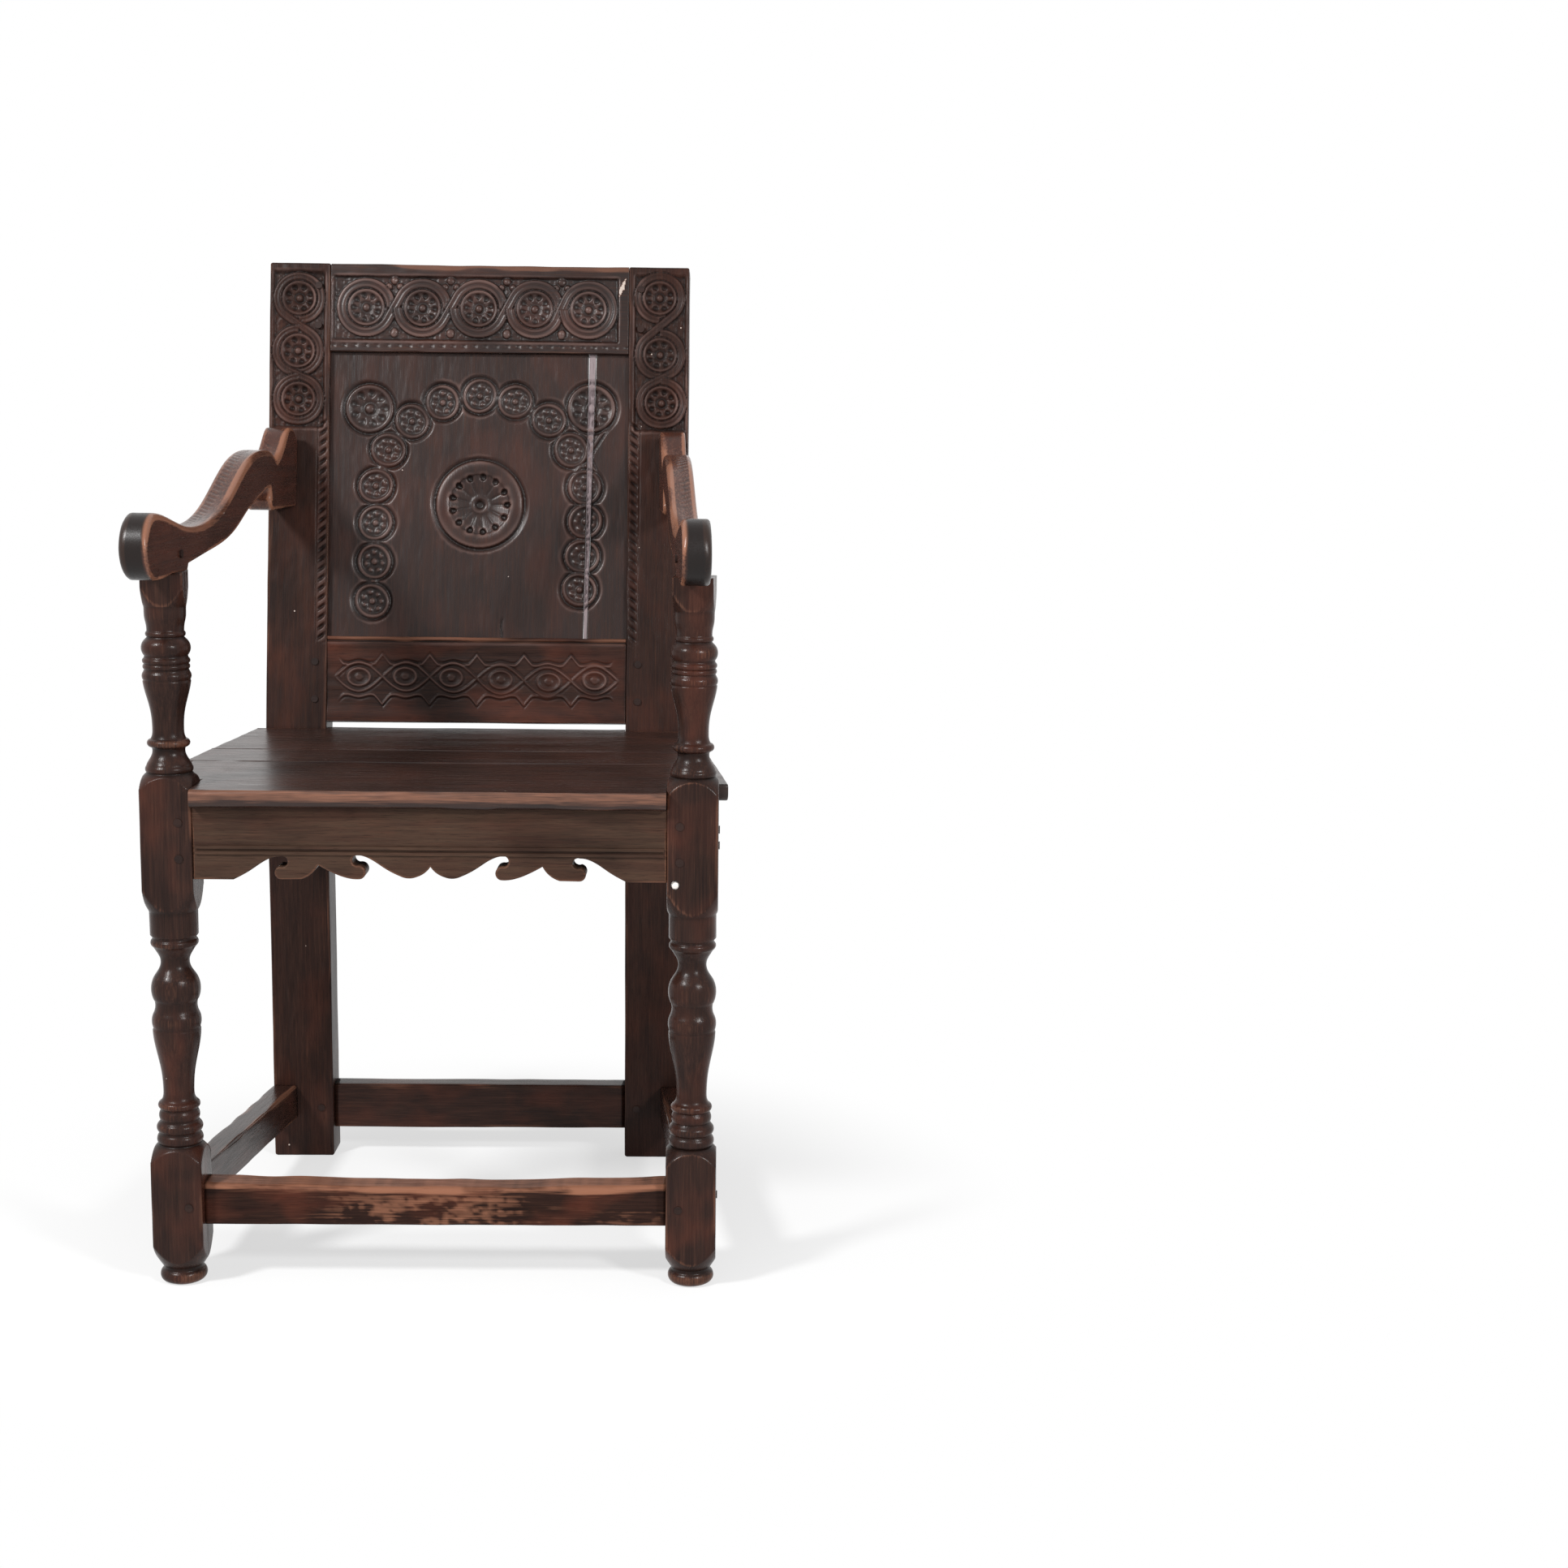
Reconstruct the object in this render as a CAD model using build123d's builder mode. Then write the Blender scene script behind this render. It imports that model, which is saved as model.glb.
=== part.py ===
from build123d import *

# Wainscot chair in oak, all of it joined with pegged mortises and tenons.
# Millimetres. X runs to the right as seen from in front, Y from the front to the back, Z up.
# The origin is on the floor, under the middle of the chair's length and width.
# Left and right are those of someone who stands in front of the chair.

import os
from math import atan, cos, sin, tan

os.makedirs("parts", exist_ok=True)

# ---- The chair as a whole ----
chair_height = 1040         # floor to the top front edge of the back
seat_height = 511           # floor to the top of the seat boards
front_width = 566           # over the two front posts
back_width = 483            # over the two stiles of the back
frame_depth = 425           # front face of the front posts to the front face of the stiles
rake_run = 92               # how far the face of the back leans away above the seat

# ---- Stock ----
post_square = 51
stile_width = 70
stile_thickness = 46
rail_thickness = 28         # crest rail and lower back rail
seat_rail_thickness = 26
seat_rail_height = 68
seat_board_thickness = 18.5

# ---- Joints ----
tenon_thickness = 9
tenon_length = 30
tenon_shoulder = 10         # how much lower a tenon is than its rail, above and below
joint_clearance = 0.2       # between a tenon and the walls and bottom of its mortise
peg_diameter = 8
peg_clearance = 0.2         # between a peg and its hole, all round
peg_proud = 1               # how far a peg head stands out of the wood
peg_length = 30

# ---- Back ----
lower_rail_gap = 8          # open slot between the seat and the lower back rail
lower_rail_height = 99
crest_rail_height = 102
lower_rail_edge = 4         # bevel along the top of the lower back rail
panel_setback = 7           # face of the stiles to the face of the panel
panel_thickness = 12
panel_tongue = 10           # how deep the panel sits in its grooves
panel_tip = 4.2             # thickness of the feathered panel edge at the bottom of the groove
panel_feather = 39          # width of the feathered border, on the back of the panel
groove_width = 6.6
split_bottom_x = 122        # left edge of the fillet at the sill of the panel
split_top_x = 126           # left edge of the fillet under the crest rail
fillet_bottom = 4           # width of the tapered fillet that fills the split
fillet_top = 8

# ---- Seat ----
seat_front_overhang = 12
seat_side_overhang_front = 15
seat_side_overhang_back = 9
seat_square_end = 269.5     # middle of the chair to the left end of the front board, which is cut square
seat_tongue = 14            # how far the back board reaches in between the stiles
front_board_width = 191
middle_board_width = 86
seat_nosing = 7             # radius along the top edge of the front board
seat_under_round = 3
notch_clearance = 0.3

# ---- Front seat rail ----
front_rail_setback = 3
apron_drop = 5              # how much lower the ends of the apron hang than the plain seat rails

# ---- Stretchers ----
front_stretcher_top = 106
front_stretcher_height = 44
front_stretcher_thickness = 34
front_stretcher_setback = 13
front_stretcher_tenon_set = 5   # tenon behind the face of the stretcher, clear of the side stretchers
rear_stretcher_top = 86
rear_stretcher_height = 53
rear_stretcher_thickness = 26
rear_stretcher_setback = 8
side_stretcher_front_top = 107
side_stretcher_rear_top = 87
side_stretcher_height = 40
side_stretcher_thickness = 28

# ---- Arms ----
arm_width = 28
arm_inset = 3               # middle of the arm inside the axis of the front post
arm_rear_inset = 5          # outer face of the arm inside the outer face of the stile
arm_seat = 720              # top of the front post, where the arm rests
arm_nose_reach = 104        # axis of the front post to the nose of the scroll, along the arm
arm_scroll_radius = 31.5
arm_head = 41               # square head of the front post under the arm
arm_tenon_diameter = 15
arm_tenon_height = 34
arm_rear_tenon_bottom = 776
arm_rear_tenon_top = 806

# ---- Stray hole bored through the right front post ----
stray_hole_diameter = 9
stray_hole_height = 418
stray_hole_inset = 8.5      # from the inner face of the post
stray_hole_fall = 0.2       # how steeply it runs down towards the back

# ---- Positions that follow from the sizes above ----
rake = atan(rake_run / (chair_height - seat_height))
front_axis_x = (front_width - post_square) / 2
stile_outer_x = back_width / 2
stile_inner_x = stile_outer_x - stile_width
arm_front_x = front_axis_x - arm_inset
arm_rear_x = stile_outer_x - arm_rear_inset - arm_width / 2
arm_rear_z = (arm_rear_tenon_bottom + arm_rear_tenon_top) / 2
arm_run = frame_depth + (arm_rear_z - seat_height) * tan(rake) - post_square / 2
arm_splay = atan((arm_front_x - arm_rear_x) / arm_run)

nose_in_front = arm_nose_reach * cos(arm_splay) + arm_width / 2 * sin(arm_splay) - post_square / 2
back_behind = frame_depth + rake_run + stile_thickness * cos(rake)
post_face_y = (nose_in_front - back_behind) / 2
post_axis_y = post_face_y + post_square / 2
post_back_y = post_face_y + post_square
stile_face_y = post_face_y + frame_depth
stile_back_y = stile_face_y + stile_thickness

seat_underside = seat_height - seat_board_thickness
seat_rail_bottom = seat_underside - seat_rail_height

# The back is drawn on the raked front face of the stiles: x across, y up the slope from the seat.
back_face = Plane((0, stile_face_y, seat_height), x_dir=(1, 0, 0), z_dir=(0, -cos(rake), sin(rake)))
slope_top = (chair_height - seat_height) / cos(rake)
crest_bottom = slope_top - crest_rail_height
lower_rail_top = lower_rail_gap + lower_rail_height
tenon_depth = (rail_thickness - tenon_thickness) / 2

side_names = {"left": -1, "right": 1}


def at_y(y):
    """Upright plane across the chair at the given y, with x to the right and z up."""
    return Plane.XZ.offset(-y)


def side_bar(front, rear, y_start, y_end, width, height):
    """Straight bar from y_start to y_end, whose middle runs through the points front and rear."""
    with BuildPart() as bar:
        for y in (y_start, y_end):
            middle = front + (rear - front) * ((y - front.Y) / (rear.Y - front.Y))
            with BuildSketch(at_y(y)):
                with Locations((middle.X, middle.Z)):
                    Rectangle(width, height)
        loft()
    return bar.part


def round_bar(start, direction, diameter, length):
    """Cylinder that begins at start and runs along direction."""
    with BuildPart() as bar:
        with BuildSketch(Plane(start, z_dir=direction)):
            Circle(diameter / 2)
        extrude(amount=length)
    return bar.part


def pegs(starts, direction, length=peg_length):
    """Peg solids, each with its head standing proud of its start point."""
    step = Vector(*direction).normalized()
    return [round_bar(Vector(*start) - step * peg_proud, step, peg_diameter, length + peg_proud)
            for start in starts]


def peg_holes(starts, direction, length=peg_length):
    """Cutters for the holes of the pegs at the same start points."""
    step = Vector(*direction).normalized()
    return [round_bar(Vector(*start) - step * 2, step, peg_diameter + 2 * peg_clearance,
                      length + 2 + joint_clearance)
            for start in starts]


def back_slab(x_range, slope_range, depth, thickness):
    """Block drawn on the raked back, from depth behind the face of the stiles."""
    with BuildPart() as slab:
        with BuildSketch(back_face.offset(-depth)):
            with Locations(((x_range[0] + x_range[1]) / 2, (slope_range[0] + slope_range[1]) / 2)):
                Rectangle(x_range[1] - x_range[0], slope_range[1] - slope_range[0])
        extrude(amount=-thickness)
    return slab.part


def upright_slab(x_range, z_range, y_start, thickness):
    """Block across the chair, from y_start backwards."""
    with BuildPart() as slab:
        with BuildSketch(at_y(y_start)):
            with Locations(((x_range[0] + x_range[1]) / 2, (z_range[0] + z_range[1]) / 2)):
                Rectangle(x_range[1] - x_range[0], z_range[1] - z_range[0])
        extrude(amount=-thickness)
    return slab.part


# ---- Tenons, each used for the piece that carries it and, with clearance, for its mortise ----

def crest_tenon(side, clearance=0):
    """Tenon of the crest rail in the stile of one side."""
    ends = sorted((side * stile_inner_x, side * (stile_inner_x + tenon_length + clearance)))
    slope = (crest_bottom + tenon_shoulder + 4 - clearance, slope_top - tenon_shoulder + clearance)
    return back_slab(ends, slope, tenon_depth - clearance, tenon_thickness + 2 * clearance)


def lower_rail_tenon(side, clearance=0):
    """Tenon of the lower back rail in the stile of one side."""
    ends = sorted((side * stile_inner_x, side * (stile_inner_x + tenon_length + clearance)))
    slope = (lower_rail_gap + tenon_shoulder - clearance, lower_rail_top - tenon_shoulder - 4 + clearance)
    return back_slab(ends, slope, tenon_depth - clearance, tenon_thickness + 2 * clearance)


def cross_tenon(side, shoulder_x, z_range, face_y, length, clearance=0):
    """Tenon of a rail or stretcher that runs straight across the chair. Its front face is at face_y."""
    ends = sorted((side * shoulder_x, side * (shoulder_x + length + clearance)))
    heights = (z_range[0] + tenon_shoulder - clearance, z_range[1] - tenon_shoulder + clearance)
    return upright_slab(ends, heights, face_y - clearance, tenon_thickness + 2 * clearance)


front_shoulder_x = front_width / 2 - post_square
front_rail_y = post_face_y + front_rail_setback
front_rail_range = (seat_rail_bottom - apron_drop, seat_underside)
front_tenon_length = post_square * 0.72
rear_rail_y = stile_face_y + 4
rear_rail_range = (seat_rail_bottom, seat_underside)
front_stretcher_y = post_face_y + front_stretcher_setback
front_stretcher_range = (front_stretcher_top - front_stretcher_height, front_stretcher_top)
rear_stretcher_y = stile_face_y + rear_stretcher_setback
rear_stretcher_range = (rear_stretcher_top - rear_stretcher_height, rear_stretcher_top)


def front_rail_tenon(side, clearance=0):
    face_y = front_rail_y + (seat_rail_thickness - tenon_thickness) / 2
    return cross_tenon(side, front_shoulder_x, front_rail_range, face_y, front_tenon_length, clearance)


def rear_rail_tenon(side, clearance=0):
    face_y = rear_rail_y + (seat_rail_thickness - tenon_thickness) / 2
    return cross_tenon(side, stile_inner_x, rear_rail_range, face_y, tenon_length, clearance)


def front_stretcher_tenon(side, clearance=0):
    face_y = front_stretcher_y + front_stretcher_tenon_set
    return cross_tenon(side, front_shoulder_x, front_stretcher_range, face_y, front_tenon_length, clearance)


def rear_stretcher_tenon(side, clearance=0):
    face_y = rear_stretcher_y + (rear_stretcher_thickness - tenon_thickness) / 2
    return cross_tenon(side, stile_inner_x, rear_stretcher_range, face_y, tenon_length, clearance)


# The side rails and side stretchers run from the back of a front post to the front of a stile,
# flush with the outer face of the stile.
side_tenon_front = 20       # stops short of the tenon that comes in from the front rail
side_tenon_rear = 30


def side_line(side, thickness, front_z, rear_z):
    """Middle of a side rail or stretcher at the back of the front post and at the stile."""
    front = Vector(side * front_axis_x, post_back_y, front_z)
    rear = Vector(side * (stile_outer_x - thickness / 2), stile_face_y, rear_z)
    return front, rear


def side_rail_line(side):
    middle = (seat_rail_bottom + seat_underside) / 2
    return side_line(side, seat_rail_thickness, middle, middle)


def side_stretcher_line(side):
    return side_line(side, side_stretcher_thickness, side_stretcher_front_top - side_stretcher_height / 2,
                     side_stretcher_rear_top - side_stretcher_height / 2)


def side_tenons(line, height, clearance=0):
    """Front and rear tenon of a side rail or stretcher."""
    tenon = (tenon_thickness + 2 * clearance, height - 2 * tenon_shoulder + 2 * clearance)
    front = side_bar(*line, post_back_y - side_tenon_front - clearance, post_back_y, *tenon)
    rear = side_bar(*line, stile_face_y, stile_face_y + side_tenon_rear + clearance, *tenon)
    return front, rear


# ---- Pegs: start points on the face they are driven into ----
front_peg_x = front_shoulder_x + 13
front_rail_pegs = [(side * front_peg_x, post_face_y, z) for side in (-1, 1)
                   for z in (seat_rail_bottom + 16, seat_underside - 16)]
rear_rail_pegs = [(side * (stile_inner_x + 14), stile_face_y, z) for side in (-1, 1)
                  for z in (seat_rail_bottom + 22, seat_underside - 22)]
front_stretcher_pegs = [(side * front_peg_x, post_face_y, front_stretcher_top - front_stretcher_height / 2)
                        for side in (-1, 1)]
rear_stretcher_pegs = [(side * (stile_inner_x + 14), stile_face_y,
                        rear_stretcher_top - rear_stretcher_height / 2) for side in (-1, 1)]
side_front_peg_y = post_back_y - side_tenon_front / 2
side_rear_peg_y = stile_face_y + side_tenon_rear / 2
side_rail_peg_heights = (seat_rail_bottom + 26, seat_underside - 26)
side_stretcher_peg_heights = (side_stretcher_front_top - side_stretcher_height / 2,
                              side_stretcher_rear_top - side_stretcher_height / 2 - 1)
crest_peg_slopes = (crest_bottom + 30, slope_top - 26)
lower_rail_peg_slopes = (lower_rail_gap + 26, lower_rail_top - 30)
arm_peg_depth = 18          # below the face of the stile
arm_front_peg_z = arm_seat + 17


def on_back(x, slope, depth=0):
    """World point at x and slope on the raked back, depth below the face."""
    return back_face.from_local_coords(Vector(x, slope, -depth))


back_direction = -back_face.z_dir
crest_rail_pegs = [on_back(side * (stile_inner_x + 14), slope) for side in (-1, 1)
                   for slope in crest_peg_slopes]
lower_back_rail_pegs = [on_back(side * (stile_inner_x + 14), slope) for side in (-1, 1)
                        for slope in lower_rail_peg_slopes]


def side_rail_pegs(side):
    """Start points on the outer faces, at the front post and at the stile."""
    front = [(side * front_width / 2, side_front_peg_y, z) for z in side_rail_peg_heights]
    rear = [(side * stile_outer_x, side_rear_peg_y, z) for z in side_rail_peg_heights]
    return front + rear


def side_stretcher_pegs(side):
    front = (side * front_width / 2, side_front_peg_y, side_stretcher_peg_heights[0])
    rear = (side * stile_outer_x, side_rear_peg_y, side_stretcher_peg_heights[1])
    return [front, rear]


# ---- Arms: drawn on an upright plane along the arm, x backwards from the post axis, y = height ----

def arm_plane(side):
    along = (-side * sin(arm_splay), cos(arm_splay), 0)
    across = (cos(arm_splay), side * sin(arm_splay), 0)
    return Plane((side * arm_front_x, post_axis_y, 0), x_dir=along, z_dir=across)


def arm_rear_tenon(side, clearance=0):
    """Tenon of the arm, square to the raked face of the stile."""
    slope_low = (arm_rear_tenon_bottom - seat_height) / cos(rake)
    slope_high = (arm_rear_tenon_top - seat_height) / cos(rake)
    half = tenon_thickness / 2 + clearance
    ends = (side * arm_rear_x - half, side * arm_rear_x + half)
    return back_slab(ends, (slope_low - clearance, slope_high + clearance), 0, tenon_length + clearance)


def arm_rear_peg(side):
    slope = (arm_rear_z - seat_height) / cos(rake)
    return [on_back(side * stile_outer_x, slope, arm_peg_depth)]


def arm_front_peg(side):
    plane = arm_plane(side)
    return [plane.from_local_coords(Vector(0, arm_front_peg_z, side * arm_width / 2))]


# ---- Turned front posts ----
foot = [(18, 0), (23.5, 7), (20.2, 14)]
lower_pommel = [(20.2, 17), (27.5, 28.5), (36.5, 46)]
lower_block_top = [(36.5, 126), (30.5, 135.5), (23.2, 144)]
upper_block_bottom = [(23.9, 384), (29.5, 395), (36.5, 412)]
upper_block_top = [(36.5, 503), (31, 513.5), (23.2, 522)]
head_pommel = [(20.4, 686), (24.4, 695), (29.5, 708)]


def arc(points):
    """Round member through three (radius, height) points, as a bead, a cove or a pommel."""
    return ThreePointArc(*points)


def bead(inner, bottom, outer, top):
    """Half-round member that swells from the inner radius to the outer one and back."""
    return ThreePointArc((inner, bottom), (outer, (bottom + top) / 2), (inner, top))


def turned_outline():
    """Profile of a front post from the floor to its head, radius by height. Closed on the axis."""
    with BuildLine() as outline:
        arc(foot)
        Line(foot[-1], lower_pommel[0])
        arc(lower_pommel)
        Line(lower_pommel[-1], lower_block_top[0])
        arc(lower_block_top)
        # stack of rings under the lower vase
        bead(21.2, 145, 23, 155)
        Line((23.2, 144), (21.2, 145))
        bead(20.6, 157, 23, 167)
        Line((21.2, 155), (20.6, 157))
        bead(19, 169.5, 20.3, 179)
        Line((20.6, 167), (19, 169.5))
        bead(18.2, 181, 20.9, 189)
        Line((19, 179), (18.2, 181))
        # lower vase
        Spline((18.2, 189), (15.4, 201), (16.9, 221), (21.4, 244), (23.8, 263), tangents=((-1, 1), (0, 1)))
        bead(23, 264.5, 24.4, 279)
        Line((23.8, 263), (23, 264.5))
        arc([(23, 279), (20.8, 286), (21.4, 293)])
        # ball
        arc([(22.2, 294), (24.3, 303), (22.6, 314)])
        Line((21.4, 293), (22.2, 294))
        Spline((22.6, 314), (15.2, 327), (14.7, 336), (18.9, 344), (22, 348.5), tangents=((-0.35, 1), (1, 1)))
        bead(22, 348.5, 23.7, 355.5)
        Line((22, 355.5), (21.8, 357.5))
        Line((21.8, 357.5), (23.9, 360))
        Line((23.9, 360), upper_block_bottom[0])
        arc(upper_block_bottom)
        Line(upper_block_bottom[-1], upper_block_top[0])
        arc(upper_block_top)
        # collar, cove and ring above the block
        bead(22.2, 523, 23.4, 529.5)
        Line((23.2, 522), (22.2, 523))
        Spline((22.2, 529.5), (18.9, 536), (15.9, 544.5), (17.2, 548), tangents=((-0.2, 1), (1, 0.6)))
        bead(17.2, 548, 20.9, 556)
        Line((17.2, 556), (16, 559))
        # upper vase
        Spline((16, 559), (15.3, 566), (16.4, 582), (19.6, 596), (23.3, 613), tangents=((-0.3, 1), (0.1, 1)))
        Line((23.3, 613), (22.6, 614))
        bead(22.6, 614, 23.9, 622)
        Line((22.6, 622), (21.4, 624.5))
        bead(21.4, 624.5, 22.8, 630)
        bead(21.4, 630, 23.1, 636)
        Line((21.4, 636), (21, 638))
        bead(21, 638, 23.8, 653)
        Line((21, 653), (18, 656))
        bead(18, 656.5, 19.4, 662)
        Line((18, 656), (18, 656.5))
        # drum that widens to the square head
        Spline((18, 662), (18.4, 668), (20, 676), head_pommel[0], tangents=((0, 1), (0.1, 1)))
        arc(head_pommel)
        Polyline(head_pommel[-1], (head_pommel[-1][0], arm_seat), (0, arm_seat), (0, 0), foot[0])
    return outline.line


def post_stock(side):
    """The squared timber that the lathe work is cut from, smaller at the head to suit the arm."""
    foot_plane = Plane((side * front_axis_x, post_axis_y, 0))
    head_plane = Plane((side * front_axis_x, post_axis_y, head_pommel[0][1]), x_dir=arm_plane(side).x_dir)
    with BuildPart() as stock:
        with BuildSketch(foot_plane):
            Rectangle(post_square, post_square)
        extrude(amount=head_pommel[0][1])
        with BuildSketch(head_plane):
            Rectangle(arm_head, arm_head)
        extrude(amount=arm_seat - head_pommel[0][1])
    return stock.part


def front_post(side):
    """Front post, turned between square blocks, with a round tenon for the arm on its head."""
    post_middle = Plane((side * front_axis_x, post_axis_y, 0), x_dir=(1, 0, 0), z_dir=(0, -1, 0))
    with BuildPart() as post:
        with BuildSketch(post_middle):
            with BuildLine():
                add(turned_outline())
            make_face()
        revolve(axis=Axis((side * front_axis_x, post_axis_y, 0), (0, 0, 1)))
        add(post_stock(side), mode=Mode.INTERSECT)
        with BuildSketch(Plane((side * front_axis_x, post_axis_y, arm_seat))):
            Circle(arm_tenon_diameter / 2)
        extrude(amount=arm_tenon_height)
        add(front_rail_tenon(side, joint_clearance), mode=Mode.SUBTRACT)
        add(front_stretcher_tenon(side, joint_clearance), mode=Mode.SUBTRACT)
        add(side_tenons(side_rail_line(side), seat_rail_height, joint_clearance)[0], mode=Mode.SUBTRACT)
        add(side_tenons(side_stretcher_line(side), side_stretcher_height, joint_clearance)[0],
            mode=Mode.SUBTRACT)
        add(peg_holes(front_rail_pegs + front_stretcher_pegs, (0, 1, 0)), mode=Mode.SUBTRACT)
        add(peg_holes(side_rail_pegs(side) + side_stretcher_pegs(side), (-side, 0, 0)), mode=Mode.SUBTRACT)
        add(peg_holes(arm_front_peg(side), -side * arm_plane(side).z_dir), mode=Mode.SUBTRACT)
    return post.part


with BuildPart() as front_post_left:
    add(front_post(-1))
front_post_left.part.label = "front_post_left"
export_step(front_post_left.part, "parts/front_post_left.step")

# The right post also has a stray hole bored right through it on a slant.
stray_hole_x = front_shoulder_x + stray_hole_inset
stray_direction = (0, 1, -stray_hole_fall)
with BuildPart() as front_post_right:
    add(front_post(1))
    add(round_bar(Vector(stray_hole_x, post_face_y, stray_hole_height) - Vector(*stray_direction) * 10,
                  stray_direction, stray_hole_diameter, post_square + 20), mode=Mode.SUBTRACT)
front_post_right.part.label = "front_post_right"
export_step(front_post_right.part, "parts/front_post_right.step")


# ---- Back posts: straight below the seat, leaning back above it ----

def panel_groove(x_range, slope_range):
    """Groove cutter for the edge of the panel."""
    return back_slab(x_range, slope_range, panel_setback - joint_clearance, groove_width)


def rear_post(side):
    bend_back_z = seat_height - stile_thickness * tan(rake / 2)
    top_back_y = stile_face_y + rake_run + stile_thickness * cos(rake)
    top_back_z = chair_height - stile_thickness * sin(rake)
    start_x = stile_inner_x if side > 0 else -stile_outer_x
    groove_ends = sorted((side * stile_inner_x, side * (stile_inner_x + panel_tongue + 1)))
    with BuildPart() as post:
        with BuildSketch(Plane.YZ.offset(start_x)):
            with BuildLine():
                Polyline((stile_face_y, 0), (stile_face_y, seat_height),
                         (stile_face_y + rake_run, chair_height), (top_back_y, top_back_z),
                         (stile_back_y, bend_back_z), (stile_back_y, 0), close=True)
            make_face()
        extrude(amount=stile_width)
        add(crest_tenon(side, joint_clearance), mode=Mode.SUBTRACT)
        add(lower_rail_tenon(side, joint_clearance), mode=Mode.SUBTRACT)
        add(rear_rail_tenon(side, joint_clearance), mode=Mode.SUBTRACT)
        add(rear_stretcher_tenon(side, joint_clearance), mode=Mode.SUBTRACT)
        add(side_tenons(side_rail_line(side), seat_rail_height, joint_clearance)[1], mode=Mode.SUBTRACT)
        add(side_tenons(side_stretcher_line(side), side_stretcher_height, joint_clearance)[1],
            mode=Mode.SUBTRACT)
        add(arm_rear_tenon(side, joint_clearance), mode=Mode.SUBTRACT)
        add(panel_groove(groove_ends, (lower_rail_top - panel_tongue - 1, crest_bottom + panel_tongue + 1)),
            mode=Mode.SUBTRACT)
        add(peg_holes(rear_rail_pegs + rear_stretcher_pegs, (0, 1, 0)), mode=Mode.SUBTRACT)
        add(peg_holes(crest_rail_pegs + lower_back_rail_pegs, back_direction), mode=Mode.SUBTRACT)
        add(peg_holes(side_rail_pegs(side) + side_stretcher_pegs(side), (-side, 0, 0)), mode=Mode.SUBTRACT)
        add(peg_holes(arm_rear_peg(side), (-side, 0, 0)), mode=Mode.SUBTRACT)
    return post.part


with BuildPart() as rear_post_left:
    add(rear_post(-1))
rear_post_left.part.label = "rear_post_left"
export_step(rear_post_left.part, "parts/rear_post_left.step")

with BuildPart() as rear_post_right:
    add(rear_post(1))
rear_post_right.part.label = "rear_post_right"
export_step(rear_post_right.part, "parts/rear_post_right.step")


# ---- Rails of the back ----
with BuildPart() as crest_rail:
    add(back_slab((-stile_inner_x, stile_inner_x), (crest_bottom, slope_top), 0, rail_thickness))
    add([crest_tenon(side) for side in (-1, 1)])
    add(panel_groove((-stile_inner_x, stile_inner_x), (crest_bottom, crest_bottom + panel_tongue + 1)),
        mode=Mode.SUBTRACT)
    add(peg_holes(crest_rail_pegs, back_direction), mode=Mode.SUBTRACT)
crest_rail.part.label = "crest_rail"
export_step(crest_rail.part, "parts/crest_rail.step")

with BuildPart() as lower_back_rail:
    add(back_slab((-stile_inner_x, stile_inner_x), (lower_rail_gap, lower_rail_top), 0, rail_thickness))
    front_top_edge = lower_back_rail.edges().filter_by(Axis.X).group_by(Axis.Z)[-1].sort_by(Axis.Y)[0]
    chamfer(front_top_edge, length=lower_rail_edge)
    add([lower_rail_tenon(side) for side in (-1, 1)])
    add(panel_groove((-stile_inner_x, stile_inner_x), (lower_rail_top - panel_tongue - 1, lower_rail_top)),
        mode=Mode.SUBTRACT)
    add(peg_holes(lower_back_rail_pegs, back_direction), mode=Mode.SUBTRACT)
lower_back_rail.part.label = "lower_back_rail"
export_step(lower_back_rail.part, "parts/lower_back_rail.step")


# ---- Back panel: two boards and the tapered fillet between them, feathered at the back ----
panel_low = lower_rail_top - panel_tongue
panel_high = crest_bottom + panel_tongue


def edge_x(edge, slope):
    """x of an upright edge at a slope height. edge holds its x at the sill and under the crest rail."""
    share = (slope - lower_rail_top) / (crest_bottom - lower_rail_top)
    return edge[0] + (edge[1] - edge[0]) * share


def panel_outline(depth, left, right, inset, inset_left, inset_right):
    """Outline of a panel board at a depth, drawn in from the grooved edges by inset."""
    low = panel_low + inset
    high = panel_high - inset
    with BuildSketch(back_face.offset(-depth)) as outline:
        with BuildLine():
            Polyline((edge_x(left, low) + inset_left, low), (edge_x(right, low) - inset_right, low),
                     (edge_x(right, high) - inset_right, high), (edge_x(left, high) + inset_left, high),
                     close=True)
        make_face()
    return outline.sketch


def panel_board(left, right, feather_left, feather_right):
    """Board of the back panel. feather_left and feather_right are 1 where that edge is in a groove."""
    back_inset = (panel_feather, panel_feather * feather_left, panel_feather * feather_right)
    with BuildPart() as board:
        loft([panel_outline(panel_setback, left, right, 0, 0, 0),
              panel_outline(panel_setback + panel_tip, left, right, 0, 0, 0),
              panel_outline(panel_setback + panel_thickness, left, right, *back_inset)], ruled=True)
    return board.part


panel_edge_x = stile_inner_x + panel_tongue
fillet_left = (split_bottom_x, split_top_x)
fillet_right = (split_bottom_x + fillet_bottom, split_top_x + fillet_top)

with BuildPart() as back_panel_wide_board:
    add(panel_board((-panel_edge_x, -panel_edge_x), fillet_left, 1, 0))
back_panel_wide_board.part.label = "back_panel_wide_board"
export_step(back_panel_wide_board.part, "parts/back_panel_wide_board.step")

with BuildPart() as back_panel_fillet:
    add(panel_board(fillet_left, fillet_right, 0, 0))
back_panel_fillet.part.label = "back_panel_fillet"
export_step(back_panel_fillet.part, "parts/back_panel_fillet.step")

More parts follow.
